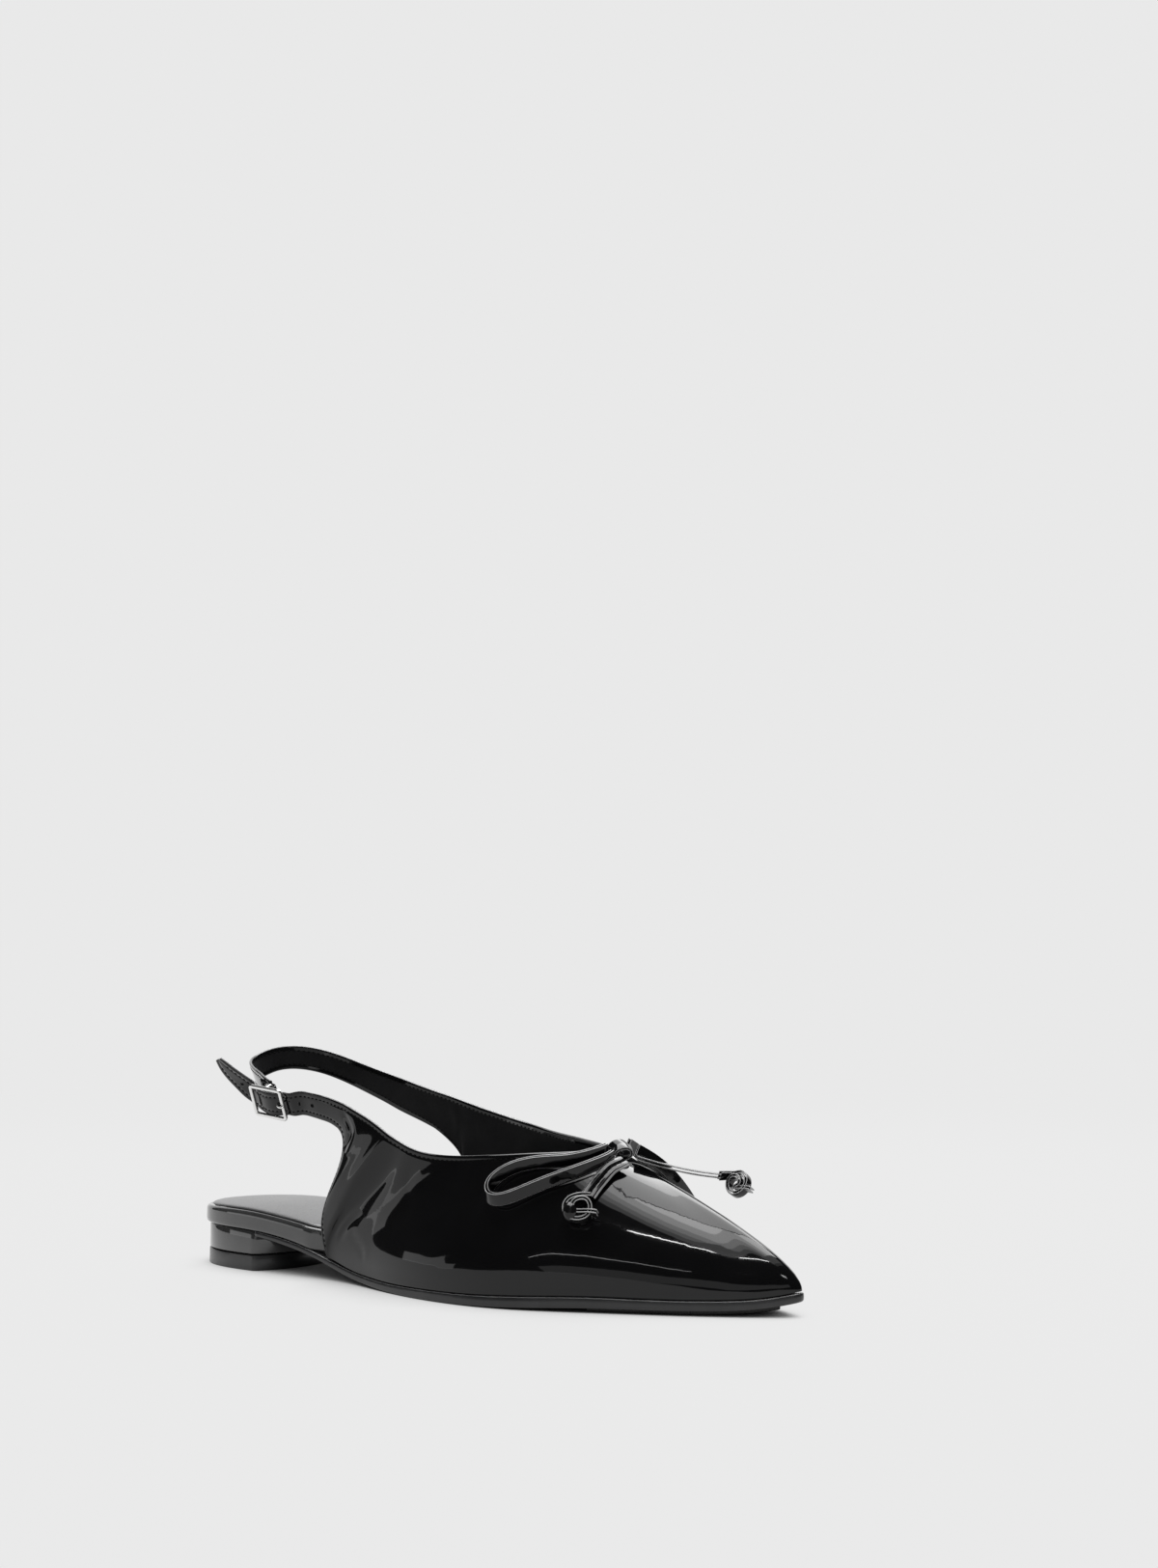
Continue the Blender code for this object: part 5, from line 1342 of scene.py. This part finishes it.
SIDE_BOXES = [  # name, azimuth, elevation, distance, width, height, level, roll
    ("low_tube", -76.0, 18.3, 1.5, 0.80, 0.010, 7.5, 26.0),
    ("low_card", -66.0, 7.0, 1.9, 1.30, 0.34, 0.5, 22.0),
    ("heel_card", -142.0, 1.5, 1.9, 0.80, 0.20, 1.0, 0.0),
    ("nose_lamp", -46.0, 34.0, 1.5, 0.16, 0.10, 8.0, 0.0),
    ("nose_back", 85.0, 30.0, 2.2, 0.8, 0.8, 1.2, 0.0)]


def build_light():
    world = bpy.data.worlds.new("studio")
    world.use_nodes = True
    bg = world.node_tree.nodes["Background"]
    bg.inputs["Color"].default_value = (1.0, 1.0, 1.0, 1.0)
    bg.inputs["Strength"].default_value = 0.045
    bpy.context.scene.world = world
    for name, az, el, dist, w, h, level, roll in SIDE_BOXES:
        area(name, az, el, dist, w, h, level, roll=roll)
    for name, x, y, w, h, level, turn in OVERHEAD:
        light = bpy.data.lights.new(name, "AREA")
        light.shape = "RECTANGLE"
        light.size, light.size_y = w, h
        light.energy = level * math.pi * w * h
        ob = bpy.data.objects.new(name, light)
        ob.location = (x + 0.20, y - 0.01, OVER_HEIGHT)
        ob.rotation_euler = (0.0, 0.0, math.radians(turn))
        ob.visible_camera = False
        bpy.context.scene.collection.objects.link(ob)


def build_camera():
    cam = bpy.data.cameras.new("camera")
    cam.sensor_width = 36.0
    cam.sensor_fit = "AUTO"
    cam.lens = 41.63
    cam.clip_start, cam.clip_end = 0.02, 60.0
    ob = bpy.data.objects.new("camera", cam)
    fwd = Vector((-0.5517, 0.8262, 0.1138)).normalized()
    right = Vector((0.8316, 0.5553, 0.0)).normalized()
    up = right.cross(fwd)
    rot = Matrix((right, up, -fwd)).transposed()
    ob.matrix_world = Matrix.Translation(Vector((0.5251, -0.5539, 0.1078))) @ rot.to_4x4()
    bpy.context.scene.collection.objects.link(ob)
    bpy.context.scene.camera = ob


bpy.context.scene.view_settings.view_transform = "Standard"
build_camera()
build_stage()
build_light()
LEATHER = build_leather()
stitches("edge_stitching", [LEATHER["top"], LEATHER["low_back"], LEATHER["low_front"]])
stitches("lining_stitching", [LEATHER["in_top"], LEATHER["in_low"]], radius=0.24)
build_sole()
build_buckle()
strap_holes(LEATHER)
build_bow()
build_knots()
